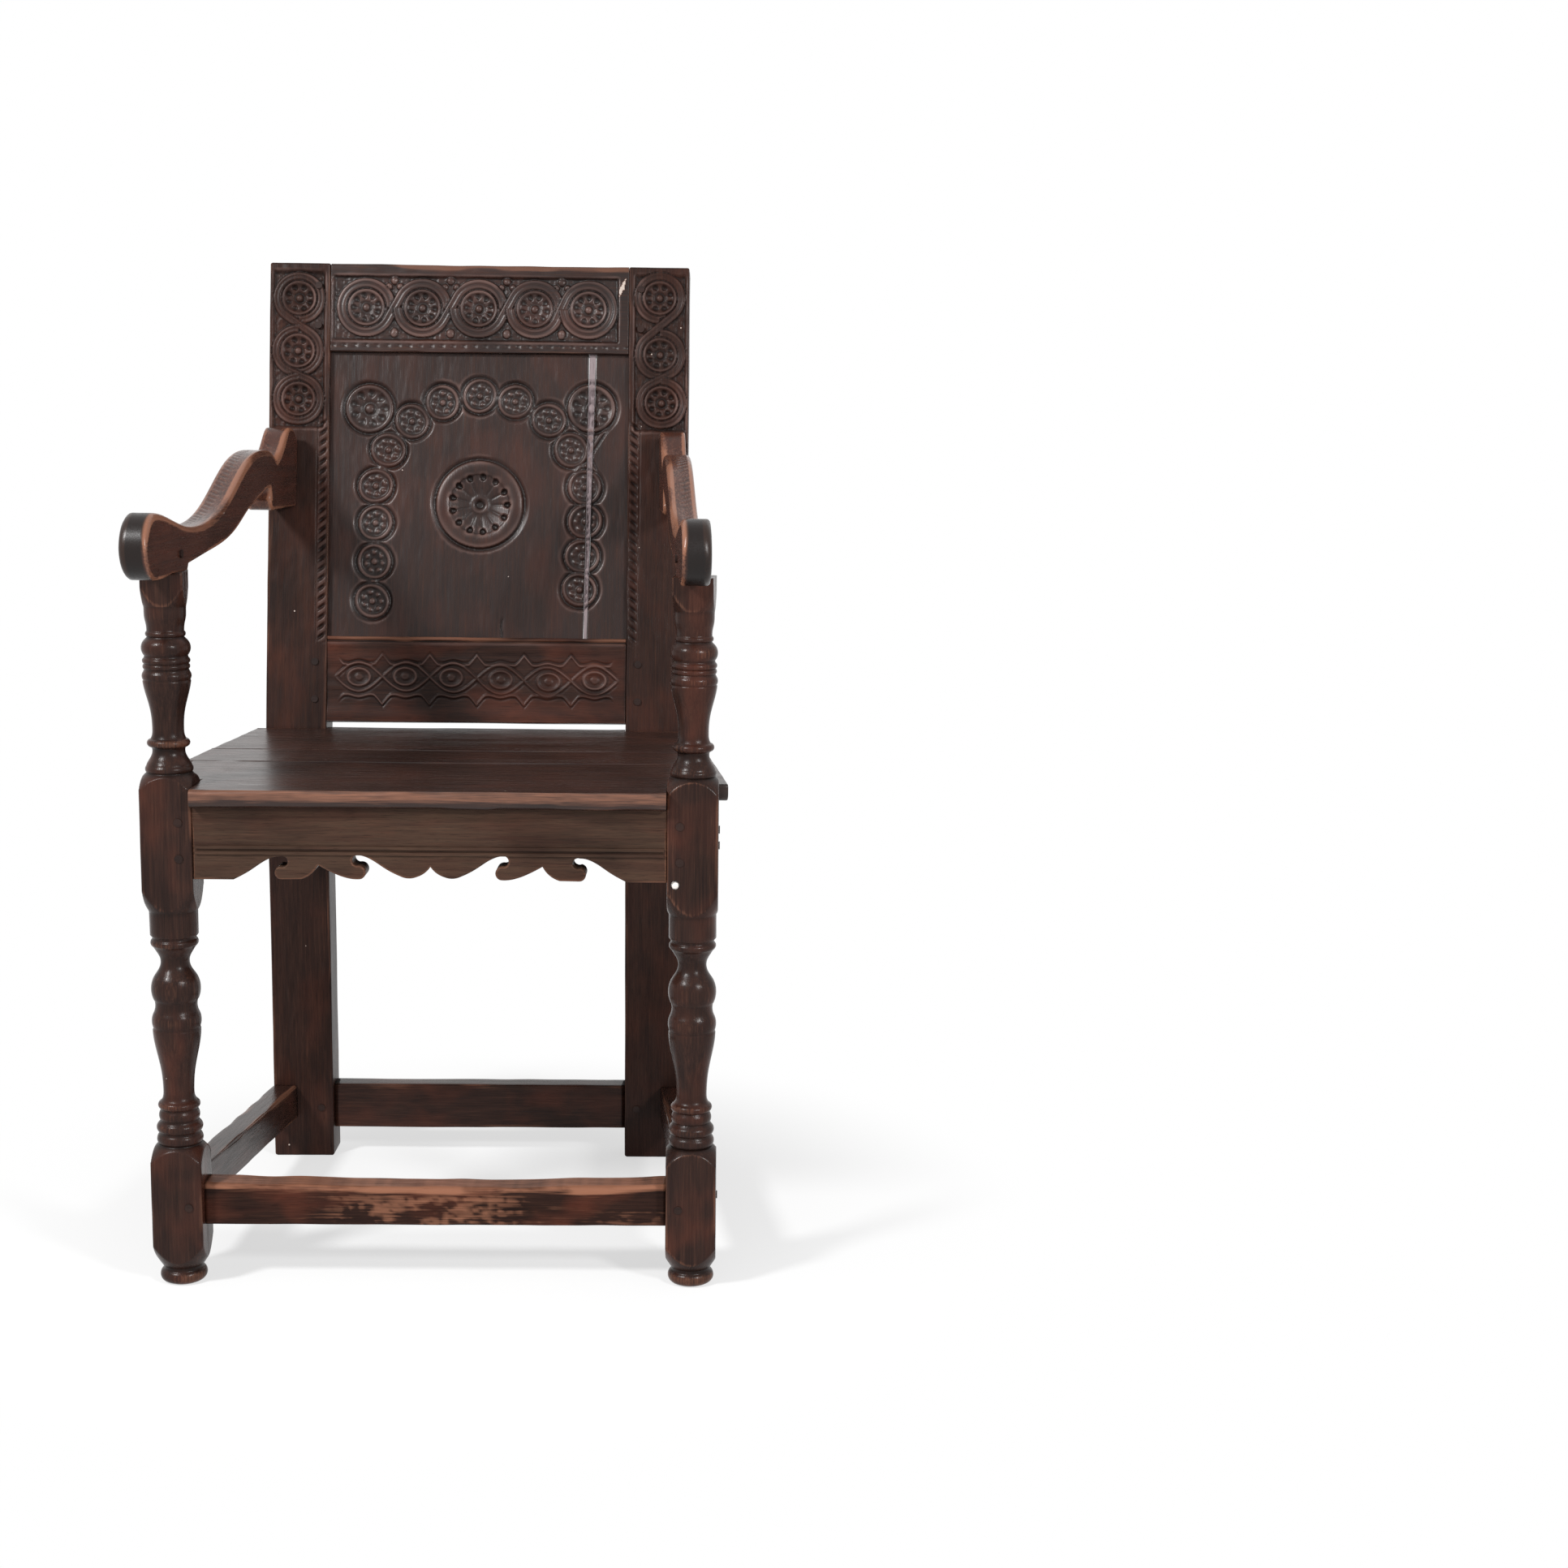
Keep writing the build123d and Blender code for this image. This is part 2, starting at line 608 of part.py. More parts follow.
with BuildPart() as back_panel_narrow_board:
    add(panel_board(fillet_right, (panel_edge_x, panel_edge_x), 0, 1))
back_panel_narrow_board.part.label = "back_panel_narrow_board"
export_step(back_panel_narrow_board.part, "parts/back_panel_narrow_board.step")


# ---- Front seat rail with its shaped apron ----
apron_end = seat_rail_bottom - apron_drop


def apron_half(side):
    """Lower edge of the front rail from the middle to the post. Heights count from its flat ends."""
    def at(x, rise):
        return (side * x, apron_end + rise)

    lobe_bottom = at(30, 4.5)
    hook_top = at(69, 25)
    cusp = at(110, 15)
    hook_end = at(147, 23.5)
    flat_start = at(193, 0)
    ThreePointArc(at(0, 14), at(5.5, 8), at(13, 4))
    ThreePointArc(at(13, 4), at(21, 2.3), lobe_bottom)
    Spline(lobe_bottom, at(46, 13), at(59, 21.5), hook_top)
    ThreePointArc(hook_top, at(76.8, 20), at(72, 14.5))
    ThreePointArc(at(72, 14.5), at(63.6, 7.5), at(69, 1.2))
    Spline(at(69, 1.2), at(82, 2.3), at(97, 8), cusp)
    ThreePointArc(cusp, at(116.5, 6.5), at(127, 0.8))
    Line(at(127, 0.8), at(146, 0.5))
    ThreePointArc(at(146, 0.5), at(152.6, 7), at(147.5, 13.5))
    ThreePointArc(at(147.5, 13.5), at(139.6, 18.5), hook_end)
    Spline(hook_end, at(158, 21), at(176, 9.5), flat_start)
    Polyline(flat_start, (side * front_shoulder_x, apron_end), (side * front_shoulder_x, seat_underside),
             (0, seat_underside))


with BuildPart() as front_seat_rail:
    with BuildSketch(at_y(front_rail_y)):
        with BuildLine():
            apron_half(-1)
            apron_half(1)
        make_face()
    extrude(amount=-seat_rail_thickness)
    add([front_rail_tenon(side) for side in (-1, 1)])
    add(peg_holes(front_rail_pegs, (0, 1, 0)), mode=Mode.SUBTRACT)
front_seat_rail.part.label = "front_seat_rail"
export_step(front_seat_rail.part, "parts/front_seat_rail.step")


# ---- Other rails and stretchers that run straight across ----
with BuildPart() as rear_seat_rail:
    add(upright_slab((-stile_inner_x, stile_inner_x), rear_rail_range, rear_rail_y, seat_rail_thickness))
    add([rear_rail_tenon(side) for side in (-1, 1)])
    add(peg_holes(rear_rail_pegs, (0, 1, 0)), mode=Mode.SUBTRACT)
rear_seat_rail.part.label = "rear_seat_rail"
export_step(rear_seat_rail.part, "parts/rear_seat_rail.step")

with BuildPart() as front_stretcher:
    add(upright_slab((-front_shoulder_x, front_shoulder_x), front_stretcher_range, front_stretcher_y,
                     front_stretcher_thickness))
    add([front_stretcher_tenon(side) for side in (-1, 1)])
    add(peg_holes(front_stretcher_pegs, (0, 1, 0)), mode=Mode.SUBTRACT)
front_stretcher.part.label = "front_stretcher"
export_step(front_stretcher.part, "parts/front_stretcher.step")

with BuildPart() as rear_stretcher:
    add(upright_slab((-stile_inner_x, stile_inner_x), rear_stretcher_range, rear_stretcher_y,
                     rear_stretcher_thickness))
    add([rear_stretcher_tenon(side) for side in (-1, 1)])
    add(peg_holes(rear_stretcher_pegs, (0, 1, 0)), mode=Mode.SUBTRACT)
rear_stretcher.part.label = "rear_stretcher"
export_step(rear_stretcher.part, "parts/rear_stretcher.step")


# ---- Side rails and side stretchers ----

def side_piece(side, line, width, height, peg_starts):
    """Side rail or stretcher between the shoulders, with both tenons and its peg holes."""
    with BuildPart() as piece:
        add(side_bar(*line, post_back_y, stile_face_y, width, height))
        add(side_tenons(line, height))
        add(peg_holes(peg_starts, (-side, 0, 0)), mode=Mode.SUBTRACT)
    return piece.part


for side_name, side in side_names.items():
    with BuildPart() as side_seat_rail:
        add(side_piece(side, side_rail_line(side), seat_rail_thickness, seat_rail_height,
                       side_rail_pegs(side)))
    side_seat_rail.part.label = "side_seat_rail_" + side_name
    export_step(side_seat_rail.part, "parts/side_seat_rail_" + side_name + ".step")

    with BuildPart() as side_stretcher:
        add(side_piece(side, side_stretcher_line(side), side_stretcher_thickness, side_stretcher_height,
                       side_stretcher_pegs(side)))
    side_stretcher.part.label = "side_stretcher_" + side_name
    export_step(side_stretcher.part, "parts/side_stretcher_" + side_name + ".step")


# ---- Seat boards: laid from side to side, notched round the posts ----
seat_front_y = post_face_y - seat_front_overhang
first_joint_y = seat_front_y + front_board_width
second_joint_y = first_joint_y + middle_board_width


def seat_half(y):
    """Half width of the seat at y: it narrows from the front posts to the stiles."""
    front_half = front_width / 2 + seat_side_overhang_front
    rear_half = back_width / 2 + seat_side_overhang_back
    return front_half + (rear_half - front_half) * (y - post_face_y) / frame_depth


def mirrored(points):
    """The same plan points on the left, in the order that closes the outline of a board."""
    return [(-x, y) for x, y in reversed(points)]


def seat_board(outline):
    """Board of the seat with the given plan outline."""
    with BuildPart() as board:
        with BuildSketch(Plane.XY.offset(seat_underside)):
            with BuildLine():
                Polyline(*outline, close=True)
            make_face()
        extrude(amount=seat_board_thickness)
    return board.part


notch_inner_x = front_shoulder_x - notch_clearance
notch_back_y = post_back_y + notch_clearance
notch = [(notch_inner_x, seat_front_y), (notch_inner_x, notch_back_y)]
front_board_right = notch + [(seat_half(notch_back_y), notch_back_y), (seat_half(first_joint_y), first_joint_y)]
front_board_left = [(-seat_square_end, first_joint_y), (-seat_square_end, notch_back_y)] + mirrored(notch)

with BuildPart() as seat_board_front:
    add(seat_board(front_board_right + front_board_left))
    front_edges = seat_board_front.edges().filter_by(Axis.X).group_by(Axis.Y)[0]
    fillet(front_edges.sort_by(Axis.Z)[-1], radius=seat_nosing)
    front_edges = seat_board_front.edges().filter_by(Axis.X).group_by(Axis.Y)[0]
    fillet(front_edges.sort_by(Axis.Z)[0], radius=seat_under_round)
seat_board_front.part.label = "seat_board_front"
export_step(seat_board_front.part, "parts/seat_board_front.step")

middle_board_right = [(seat_half(first_joint_y), first_joint_y), (seat_half(second_joint_y), second_joint_y)]
with BuildPart() as seat_board_middle:
    add(seat_board(middle_board_right + mirrored(middle_board_right)))
seat_board_middle.part.label = "seat_board_middle"
export_step(seat_board_middle.part, "parts/seat_board_middle.step")

stile_notch_y = stile_face_y - notch_clearance
stile_notch_x = stile_inner_x - notch_clearance
rear_board_right = [(seat_half(second_joint_y), second_joint_y), (seat_half(stile_notch_y), stile_notch_y),
                    (stile_notch_x, stile_notch_y), (stile_notch_x, stile_face_y + seat_tongue)]
with BuildPart() as seat_board_rear:
    add(seat_board(rear_board_right + mirrored(rear_board_right)))
seat_board_rear.part.label = "seat_board_rear"
export_step(seat_board_rear.part, "parts/seat_board_rear.step")


# ---- Scrolled arms ----

def arm_outline():
    """Side view of an arm: x backwards from the axis of the front post, y the height."""
    scroll_middle = (arm_scroll_radius - arm_nose_reach, arm_seat - 3.5 + arm_scroll_radius)
    scroll_top = (scroll_middle[0], scroll_middle[1] + arm_scroll_radius)
    scroll_bottom = (scroll_middle[0], scroll_middle[1] - arm_scroll_radius)
    seat_front = (-arm_head / 2 - 1, arm_seat)
    seat_back = (arm_head / 2 + 1, arm_seat)
    past_stile = arm_run + 30
    with BuildLine() as outline:
        CenterArc(scroll_middle, arm_scroll_radius, 270, -180)
        # the hand dips behind the scroll, rises in an ogee to the hump and ends in a notch
        Spline(scroll_top, (-25, 773), (30, 762.5), (80, 761), (140, 771), (200, 796), (250, 818),
               (300, 828.5), (330, 829), tangents=((1, 0), (1, -0.05)))
        ThreePointArc((330, 829), (352, 826), (367, 818))
        # ear against the stile
        Spline((367, 818), (395, 833), (424, 852), tangents=((1, 0.35), (1, 0.25)))
        ThreePointArc((424, 852), (444, 848.5), (459, 834))
        Polyline((459, 834), (past_stile, 826), (past_stile, 763), (352, 763))
        # small ear under the arm, with a round front
        ThreePointArc((352, 763), (341, 766), (337.5, 774))
        ThreePointArc((337.5, 774), (339.5, 781), (338, 788))
        # underside: rounded notch, then the ogee down to the flat that sits on the post
        Spline((338, 788), (300, 782), (250, 769), (200, 751), (150, 739.5), (90, 732.5), (30, 726),
               tangents=((-1, 0.1), (-1, -0.1)))
        ThreePointArc((30, 726), (24.5, 724), seat_back)
        Line(seat_back, seat_front)
        Spline(seat_front, (-45, 717.2), scroll_bottom, tangents=((-1, -0.15), (-1, 0)))
    return outline.line


def arm(side):
    tenon_hole = arm_tenon_diameter + 2 * joint_clearance
    with BuildPart() as piece:
        with BuildSketch(arm_plane(side)):
            with BuildLine():
                add(arm_outline())
            make_face()
        extrude(amount=arm_width / 2, both=True)
        split(bisect_by=back_face, keep=Keep.TOP)
        add(arm_rear_tenon(side))
        add(round_bar((side * front_axis_x, post_axis_y, arm_seat), (0, 0, 1), tenon_hole,
                      arm_tenon_height + joint_clearance), mode=Mode.SUBTRACT)
        add(peg_holes(arm_front_peg(side), -side * arm_plane(side).z_dir), mode=Mode.SUBTRACT)
        add(peg_holes(arm_rear_peg(side), (-side, 0, 0)), mode=Mode.SUBTRACT)
    return piece.part


for side_name, side in side_names.items():
    with BuildPart() as scrolled_arm:
        add(arm(side))
    scrolled_arm.part.label = "arm_" + side_name
    export_step(scrolled_arm.part, "parts/arm_" + side_name + ".step")


# ---- Pegs, one node for each group of joints ----
peg_groups = {
    "crest_rail_pegs": pegs(crest_rail_pegs, back_direction),
    "lower_back_rail_pegs": pegs(lower_back_rail_pegs, back_direction),
    "front_seat_rail_pegs": pegs(front_rail_pegs, (0, 1, 0)),
    "rear_seat_rail_pegs": pegs(rear_rail_pegs, (0, 1, 0)),
    "front_stretcher_pegs": pegs(front_stretcher_pegs, (0, 1, 0)),
    "rear_stretcher_pegs": pegs(rear_stretcher_pegs, (0, 1, 0)),
    "side_seat_rail_pegs": [peg for side in (-1, 1) for peg in pegs(side_rail_pegs(side), (-side, 0, 0))],
    "side_stretcher_pegs": [peg for side in (-1, 1)
                            for peg in pegs(side_stretcher_pegs(side), (-side, 0, 0))],
    "arm_pegs": [peg for side in (-1, 1)
                 for peg in pegs(arm_front_peg(side), -side * arm_plane(side).z_dir)
                 + pegs(arm_rear_peg(side), (-side, 0, 0))],
}
for group_name, solids in peg_groups.items():
    with BuildPart() as peg_group:
        add(solids)
    peg_group.part.label = group_name
    export_step(peg_group.part, "parts/" + group_name + ".step")
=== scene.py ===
from math import atan, cos, pi, sin, tan

import bpy
import numpy as np
from mathutils import Matrix, Vector


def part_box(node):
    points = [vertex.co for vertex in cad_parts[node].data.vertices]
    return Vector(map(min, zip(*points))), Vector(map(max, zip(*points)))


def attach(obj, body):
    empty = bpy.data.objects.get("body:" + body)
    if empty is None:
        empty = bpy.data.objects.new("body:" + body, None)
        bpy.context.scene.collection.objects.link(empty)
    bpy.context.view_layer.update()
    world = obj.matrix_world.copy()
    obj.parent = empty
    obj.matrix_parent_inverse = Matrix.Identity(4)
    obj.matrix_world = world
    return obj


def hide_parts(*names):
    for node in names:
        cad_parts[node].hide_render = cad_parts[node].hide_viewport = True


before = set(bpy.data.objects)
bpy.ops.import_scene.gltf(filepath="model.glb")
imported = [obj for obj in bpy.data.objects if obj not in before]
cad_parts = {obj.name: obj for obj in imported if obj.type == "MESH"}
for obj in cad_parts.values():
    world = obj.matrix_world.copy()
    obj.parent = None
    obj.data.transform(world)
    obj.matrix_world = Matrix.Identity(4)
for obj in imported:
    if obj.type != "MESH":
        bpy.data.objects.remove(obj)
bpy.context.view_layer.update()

bl_info = {
    "name": "Wainscot Chair",
    "version": (1, 0, 0),
    "blender": (4, 5, 0),
    "location": "3D View > Sidebar > Wainscot Chair",
    "description": "Joined oak armchair with a carved back, turned posts and scrolled arms",
    "category": "Object",
}

# ---- Sizes of the joined frame, in millimetres, as the solids have them ----
chair_height = 1040.0
seat_top = 511.0
seat_thickness = 18.5
seat_underside = seat_top - seat_thickness
rake_run = 92.0                 # how far the back leans over its height
rake = atan(rake_run / (chair_height - seat_top))
frame_depth = 425.0             # front faces of the front posts to those of the stiles
post_half = 25.5
post_axis_x = 257.5
post_face_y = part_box("front_post_right")[0][1] * 1000
post_axis_y = post_face_y + post_half
post_back_y = post_face_y + 2 * post_half
post_inner_x = post_axis_x - post_half
stile_face_y = post_face_y + frame_depth
stile_inner_x = 171.5
stile_outer_x = 241.5
stile_thickness = 46.0
slope_top = (chair_height - seat_top) / cos(rake)
crest_bottom = slope_top - 102  # up the slope, as the heights of the lower rail
lower_rail_bottom = 8.0
lower_rail_top = 107.0
back_rail_thickness = 28.0
rail_thickness = 26.0
panel_setback = 7.0
panel_thickness = 12.0
panel_edge_thickness = 4.2
panel_feather = 39.0            # width over which the panel's back is thinned towards its edges
groove_depth = 10.0
panel_edge_x = stile_inner_x + groove_depth
tenon_length = 30.0
front_tenon_length = 36.7
tenon_thickness = 9.0
arm_half = 14.0
arm_seat = 720.0
arm_joint = 791.0               # height of the middle of the arm's rear tenon
arm_front_x = post_axis_x - 3
arm_rear_x = stile_outer_x - 19
seat_front_half = 298.0         # half the seat's width at the faces of the front posts
seat_taper = 47.5               # how much less it is at the faces of the stiles
apron_bottom = 419.5
head_half = 20.5                # square heads of the front posts, under the arms
head_bottom = 686.0
stray_hole_radius = 4.5
stray_hole_height = 418.0
filler_radius = 4.4
arm_splay = atan((arm_front_x - arm_rear_x) / (frame_depth + (arm_joint - seat_top) * tan(rake) - post_half))

SIDES = {"left": -1, "right": 1}


# ---- Settings ----

def hex_colour(code):
    """sRGB hex colour turned to linear RGBA."""
    channels = [int(code[i:i + 2], 16) / 255 for i in (1, 3, 5)]
    linear = [c / 12.92 if c <= 0.04045 else ((c + 0.055) / 1.055) ** 2.4 for c in channels]
    return (*linear, 1.0)


def colour_property(name, description, code):
    """Setting for one colour, with its default as an sRGB hex code."""
    return bpy.props.FloatVectorProperty(name=name, description=description, size=4, subtype="COLOR",
                                         min=0, max=1, default=hex_colour(code))


class WainscotCarving(bpy.types.PropertyGroup):
    """Sizes of the carving and the wear"""
    depth: bpy.props.FloatProperty(
        name="Carving Depth", description="How deep the ground of the carving is cut",
        default=0.0032, min=0, max=0.006, unit="LENGTH", precision=4)
    worn_edge: bpy.props.FloatProperty(
        name="Worn Edge", description="Mean radius that use has given the long edges of the timbers",
        default=0.0016, min=0.0002, max=0.006, unit="LENGTH", precision=4)
    unevenness: bpy.props.FloatProperty(
        name="Unevenness", description="How far the hand-planed faces wander from flat",
        default=0.0006, min=0, max=0.003, unit="LENGTH", precision=4)
    nick_spacing: bpy.props.FloatProperty(
        name="Nick Spacing", description="Distance between gouge nicks along the stiles",
        default=0.0112, min=0.004, max=0.05, unit="LENGTH", precision=4)


class WainscotFinish(bpy.types.PropertyGroup):
    """Colours of the oak"""
    oak_dark: colour_property("Oak Dark", "Darkest tone of the stained oak", "#1e1311")
    oak_brown: colour_property("Oak Brown", "Middle tone of the stained oak", "#2f1e19")
    oak_back: colour_property("Oak Back", "Middle tone of the stained back", "#281a17")
    oak_red: colour_property("Oak Red", "Redder patches of the stained oak", "#4a271d")
    oak_worn: colour_property("Oak Worn", "Edges where the stain has worn off", "#8c5f4a")
    # also stands for a painted highlight on the high places of the carving
    oak_rubbed: colour_property("Oak Rubbed", "High places of the carving, still stained", "#664f49")
    bare_oak: colour_property("Bare Oak", "Chips and specks down to the bare wood", "#b3a59b")
    # also stands for painted shade in the hollows, coves and cuts, and on the nose of the arms
    dirt_and_shade: colour_property("Dirt", "Wax and dirt in the hollows", "#0b0706")
    oak_olive: colour_property("Oak Olive", "Greyer oak of the front seat rail", "#46362b")
    seat_brown: colour_property("Seat Brown", "Oak of the seat boards", "#33211b")
    fillet_grey: colour_property("Fillet Grey", "Bare oak strip in the panel", "#85787a")
    peg_brown: colour_property("Peg Brown", "End grain of the pegs", "#2a1a15")
    filler_white: colour_property("Filler White", "Old white filler in the stray hole", "#efe9e2")


def millimetres(length):
    """A size in metres, as the settings hold it, turned to the millimetres of the formulas."""
    return length * 1000


def smooth_step(low, high, value):
    """0 below low, 1 above high, with a soft change between."""
    t = np.clip((value - low) / (high - low), 0, 1)
    return t * t * (3 - 2 * t)


def plateau(a, b, c, d, value):
    """Rises softly from 0 to 1 between a and b, and falls back between c and d."""
    return smooth_step(a, b, value) * (1 - smooth_step(c, d, value))


def swell(distance, width):
    """Height from 0 to 1 of a soft ridge along a line: e to the power of -(distance / width) squared."""
    return np.exp(-(distance / width) ** 2)


def lattice(x, y, z, seed):
    """A fixed random number from 0 to 1 for each whole-number point, by mixing its coordinates' bits."""
    mixed = (x * 374761393 + y * 668265263 + z * 1442695041 + seed * 974634777) & 0xFFFFFFFF
    mixed = ((mixed ^ (mixed >> 13)) * 1274126177) & 0xFFFFFFFF
    return ((mixed ^ (mixed >> 16)) & 0xFFFF) / 65535.0


def noise(x, y, z, cell, seed):
    """Value noise from 0 to 1: random numbers on a lattice of the cell size, blended smoothly between."""
    scaled = [np.asarray(c, float) / s for c, s in zip((x, y, z), cell)]
    whole = [np.floor(c).astype(np.int64) for c in scaled]
    part = [c - w for c, w in zip(scaled, whole)]
    part = [p * p * (3 - 2 * p) for p in part]
    total = 0
    for i in (0, 1):
        for j in (0, 1):
            for k in (0, 1):
                weight = ((part[0] if i else 1 - part[0]) * (part[1] if j else 1 - part[1])
                          * (part[2] if k else 1 - part[2]))
                total = total + weight * lattice(whole[0] + i, whole[1] + j, whole[2] + k, seed)
    return total


def blurred(values, reach):
    """Running mean of a two-dimensional array over reach cells each way, along both axes."""
    for axis in (0, 1):
        padded = np.concatenate([np.repeat(values.take([0], axis), reach, axis), values,
                                 np.repeat(values.take([-1], axis), reach + 1, axis)], axis)
        sums = np.cumsum(padded, axis)
        width = 2 * reach + 1
        size = values.shape[axis]
        values = (sums.take(range(width - 1, width - 1 + size), axis)
                  - np.concatenate([np.zeros_like(sums.take([0], axis)),
                                    sums.take(range(0, size - 1), axis)], axis)) / width
    return values


# ---- Curves ----

def arc_through(first, middle, last, count):
    """Points on the circle through three points, from the first to the last."""
    (ax, ay), (bx, by), (cx, cy) = first, middle, last
    double = 2 * (ax * (by - cy) + bx * (cy - ay) + cx * (ay - by))
    squares = [p[0] ** 2 + p[1] ** 2 for p in (first, middle, last)]
    ox = (squares[0] * (by - cy) + squares[1] * (cy - ay) + squares[2] * (ay - by)) / double
    oy = (squares[0] * (cx - bx) + squares[1] * (ax - cx) + squares[2] * (bx - ax)) / double
    start, through, end = (np.arctan2(p[1] - oy, p[0] - ox) for p in (first, middle, last))
    sweep = (end - start) % (2 * pi)
    if (through - start) % (2 * pi) > sweep:
        sweep -= 2 * pi
    angle = start + sweep * np.linspace(0, 1, count)
    radius = np.hypot(ax - ox, ay - oy)
    return np.column_stack([ox + radius * np.cos(angle), oy + radius * np.sin(angle)])


def spline_through(points, count, tangents):
    """Cubic curve with continuous curvature through the points, with the directions given at its ends.

    The parameter is the length along the chords, and the slopes at the points solve the usual
    three-term equations.
    """
    points = np.array(points, float)
    gaps = np.hypot(*np.diff(points, axis=0).T)
    knots = np.concatenate([[0], np.cumsum(gaps)])
    size = len(points)
    matrix = np.eye(size)
    right = np.zeros((size, 2))
    right[0] = np.array(tangents[0]) / np.hypot(*tangents[0])
    right[-1] = np.array(tangents[1]) / np.hypot(*tangents[1])
    chords = np.diff(points, axis=0) / gaps[:, None]
    inner = np.arange(1, size - 1)
    matrix[inner, inner - 1] = gaps[inner]
    matrix[inner, inner] = 2 * (gaps[inner - 1] + gaps[inner])
    matrix[inner, inner + 1] = gaps[inner - 1]
    right[inner] = 3 * (gaps[inner, None] * chords[inner - 1] + gaps[inner - 1, None] * chords[inner])
    slopes = np.linalg.solve(matrix, right)
    at = np.linspace(0, knots[-1], count)
    span = np.clip(np.searchsorted(knots, at, side="right") - 1, 0, size - 2)
    gap = gaps[span][:, None]
    t = ((at - knots[span]) / gaps[span])[:, None]
    return ((2 * t ** 3 - 3 * t ** 2 + 1) * points[span] + (t ** 3 - 2 * t ** 2 + t) * gap * slopes[span]
            + (3 * t ** 2 - 2 * t ** 3) * points[span + 1] + (t ** 3 - t ** 2) * gap * slopes[span + 1])


def joined(*runs):
    """One line of points from several runs, without the doubled points where they meet."""
    points = np.concatenate(runs)
    keep = np.concatenate([[True], np.hypot(*np.diff(points, axis=0).T) > 0.02])
    return points[keep]


# ---- Meshes ----

def put_mesh(name, node, shells, attributes, material):
    """Makes one object of closed shells and puts it in place of a node.

    Each shell is an array of points in millimetres and a list of faces as index arrays. A shell whose
    signed volume is negative is turned round, so that every face points outwards.
    """
    points, corners, starts, offset, used = [], [], [], 0, 0
    for shell_points, faces in shells:
        volume = 0.0
        for block in faces:
            a = shell_points[block[:, 0]]
            for j in range(1, block.shape[1] - 1):
                b, c = shell_points[block[:, j]], shell_points[block[:, j + 1]]
                volume += np.einsum("ij,ij->", a, np.cross(b, c))
        for block in faces:
            block = block if volume > 0 else block[:, ::-1]
            corners.append((block + offset).ravel())
            starts.append(used + np.arange(len(block)) * block.shape[1])
            used += block.size
        points.append(shell_points)
        offset += len(shell_points)
    points = np.concatenate(points) * 0.001
    corners = np.concatenate(corners).astype(np.int32)
    starts = np.concatenate(starts).astype(np.int32)
    mesh = bpy.data.meshes.new(name)
    mesh.vertices.add(len(points))
    mesh.vertices.foreach_set("co", points.astype(np.float32).ravel())
    mesh.loops.add(len(corners))
    mesh.loops.foreach_set("vertex_index", corners)
    mesh.polygons.add(len(starts))
    mesh.polygons.foreach_set("loop_start", starts)
    mesh.polygons.foreach_set("use_smooth", np.ones(len(starts), bool))
    mesh.update(calc_edges=True)
    mesh.validate()
    for label, values in attributes.items():
        kind, field = ("FLOAT_VECTOR", "vector") if values.ndim == 2 else ("FLOAT", "value")
        layer = mesh.attributes.new(label, kind, "POINT")
        layer.data.foreach_set(field, values.astype(np.float32).ravel())
    mesh.materials.append(material)
    piece = bpy.data.objects.new(name + "_oak", mesh)
    bpy.context.scene.collection.objects.link(piece)
    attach(piece, "root")
    if node:
        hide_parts(node)
    return piece


def tube_faces(rows, ring):
    """Faces of a tube of rows by ring points, closed round the ring and capped at both ends."""
    index = np.arange(rows * ring).reshape(rows, ring)
    after = np.roll(index, -1, axis=1)
    sides = np.stack([index[:-1], after[:-1], after[1:], index[1:]], axis=-1).reshape(-1, 4)
    return [sides, index[0][::-1][None, :], index[-1][None, :]]


CORNERS = np.array([(0, 0), (1, 0), (1, 1), (0, 1)], float)
GRAIN_SHIFT = np.array([0.37, 0.11, 0.23])      # metres for each seed: no two timbers show one figure
FULL_SHADE = 1.2                                # millimetres out of or into the wood for full rub and painted highlight, or full dirt and painted shade


def section_ring(front, side, back, corner):
    """Ring of points round a squared timber, with its corners rounded.

    Gives each point as fractions across the face and through the depth, and for each of the four
    corners how far one millimetre of its radius moves the point: along a face in proportion to how
    near the corner is, and on the corner itself round a quarter circle. Also gives the face that each
    point is on, or -1 on a corner, and its share of the way to the nearer end of the face.
    """
    counts = (front, side, back, side)
    base, shift, face, share = [], [], [], []
    for k in range(4):
        step = CORNERS[(k + 1) % 4] - CORNERS[k]
        turn = CORNERS[(k + 2) % 4] - CORNERS[(k + 1) % 4]
        f = np.linspace(0, 1, counts[k])[:, None]
        moves = np.zeros((4, counts[k], 2))
        moves[k] = step * (1 - f)
        moves[(k + 1) % 4] = -step * f
        base.append(CORNERS[k] + f * step)
        shift.append(moves)
        face += [k] * counts[k]
        share.append(np.minimum(f, 1 - f)[:, 0])
        angle = np.linspace(0, pi / 2, corner + 2)[1:-1, None]
        moves = np.zeros((4, corner, 2))
        moves[(k + 1) % 4] = step * (np.sin(angle) - 1) + turn * (1 - np.cos(angle))
        base.append(np.repeat(CORNERS[(k + 1) % 4][None], corner, axis=0))
        shift.append(moves)
        face += [-1] * corner
        share.append(np.zeros(corner))
    return np.concatenate(base), np.concatenate(shift, axis=1), np.array(face), np.concatenate(share)


def rounded_end(at, direction, radius):
    """Rows that round off a sawn end, as pairs of place along the timber and inset all round."""
    angle = np.linspace(0, pi / 2, 4)[1:]
    along = at - direction * radius * (1 - np.sin(angle))
    inset = radius * (1 - np.cos(angle))
    return np.append(along, at), np.append(inset, radius + 3)


def tenon(length, low, high, depth):
    """End of a timber that runs on as a tenon, from low to high across it and centred on a depth."""
    return "tenon", length, low, high, depth - tenon_thickness / 2, depth + tenon_thickness / 2


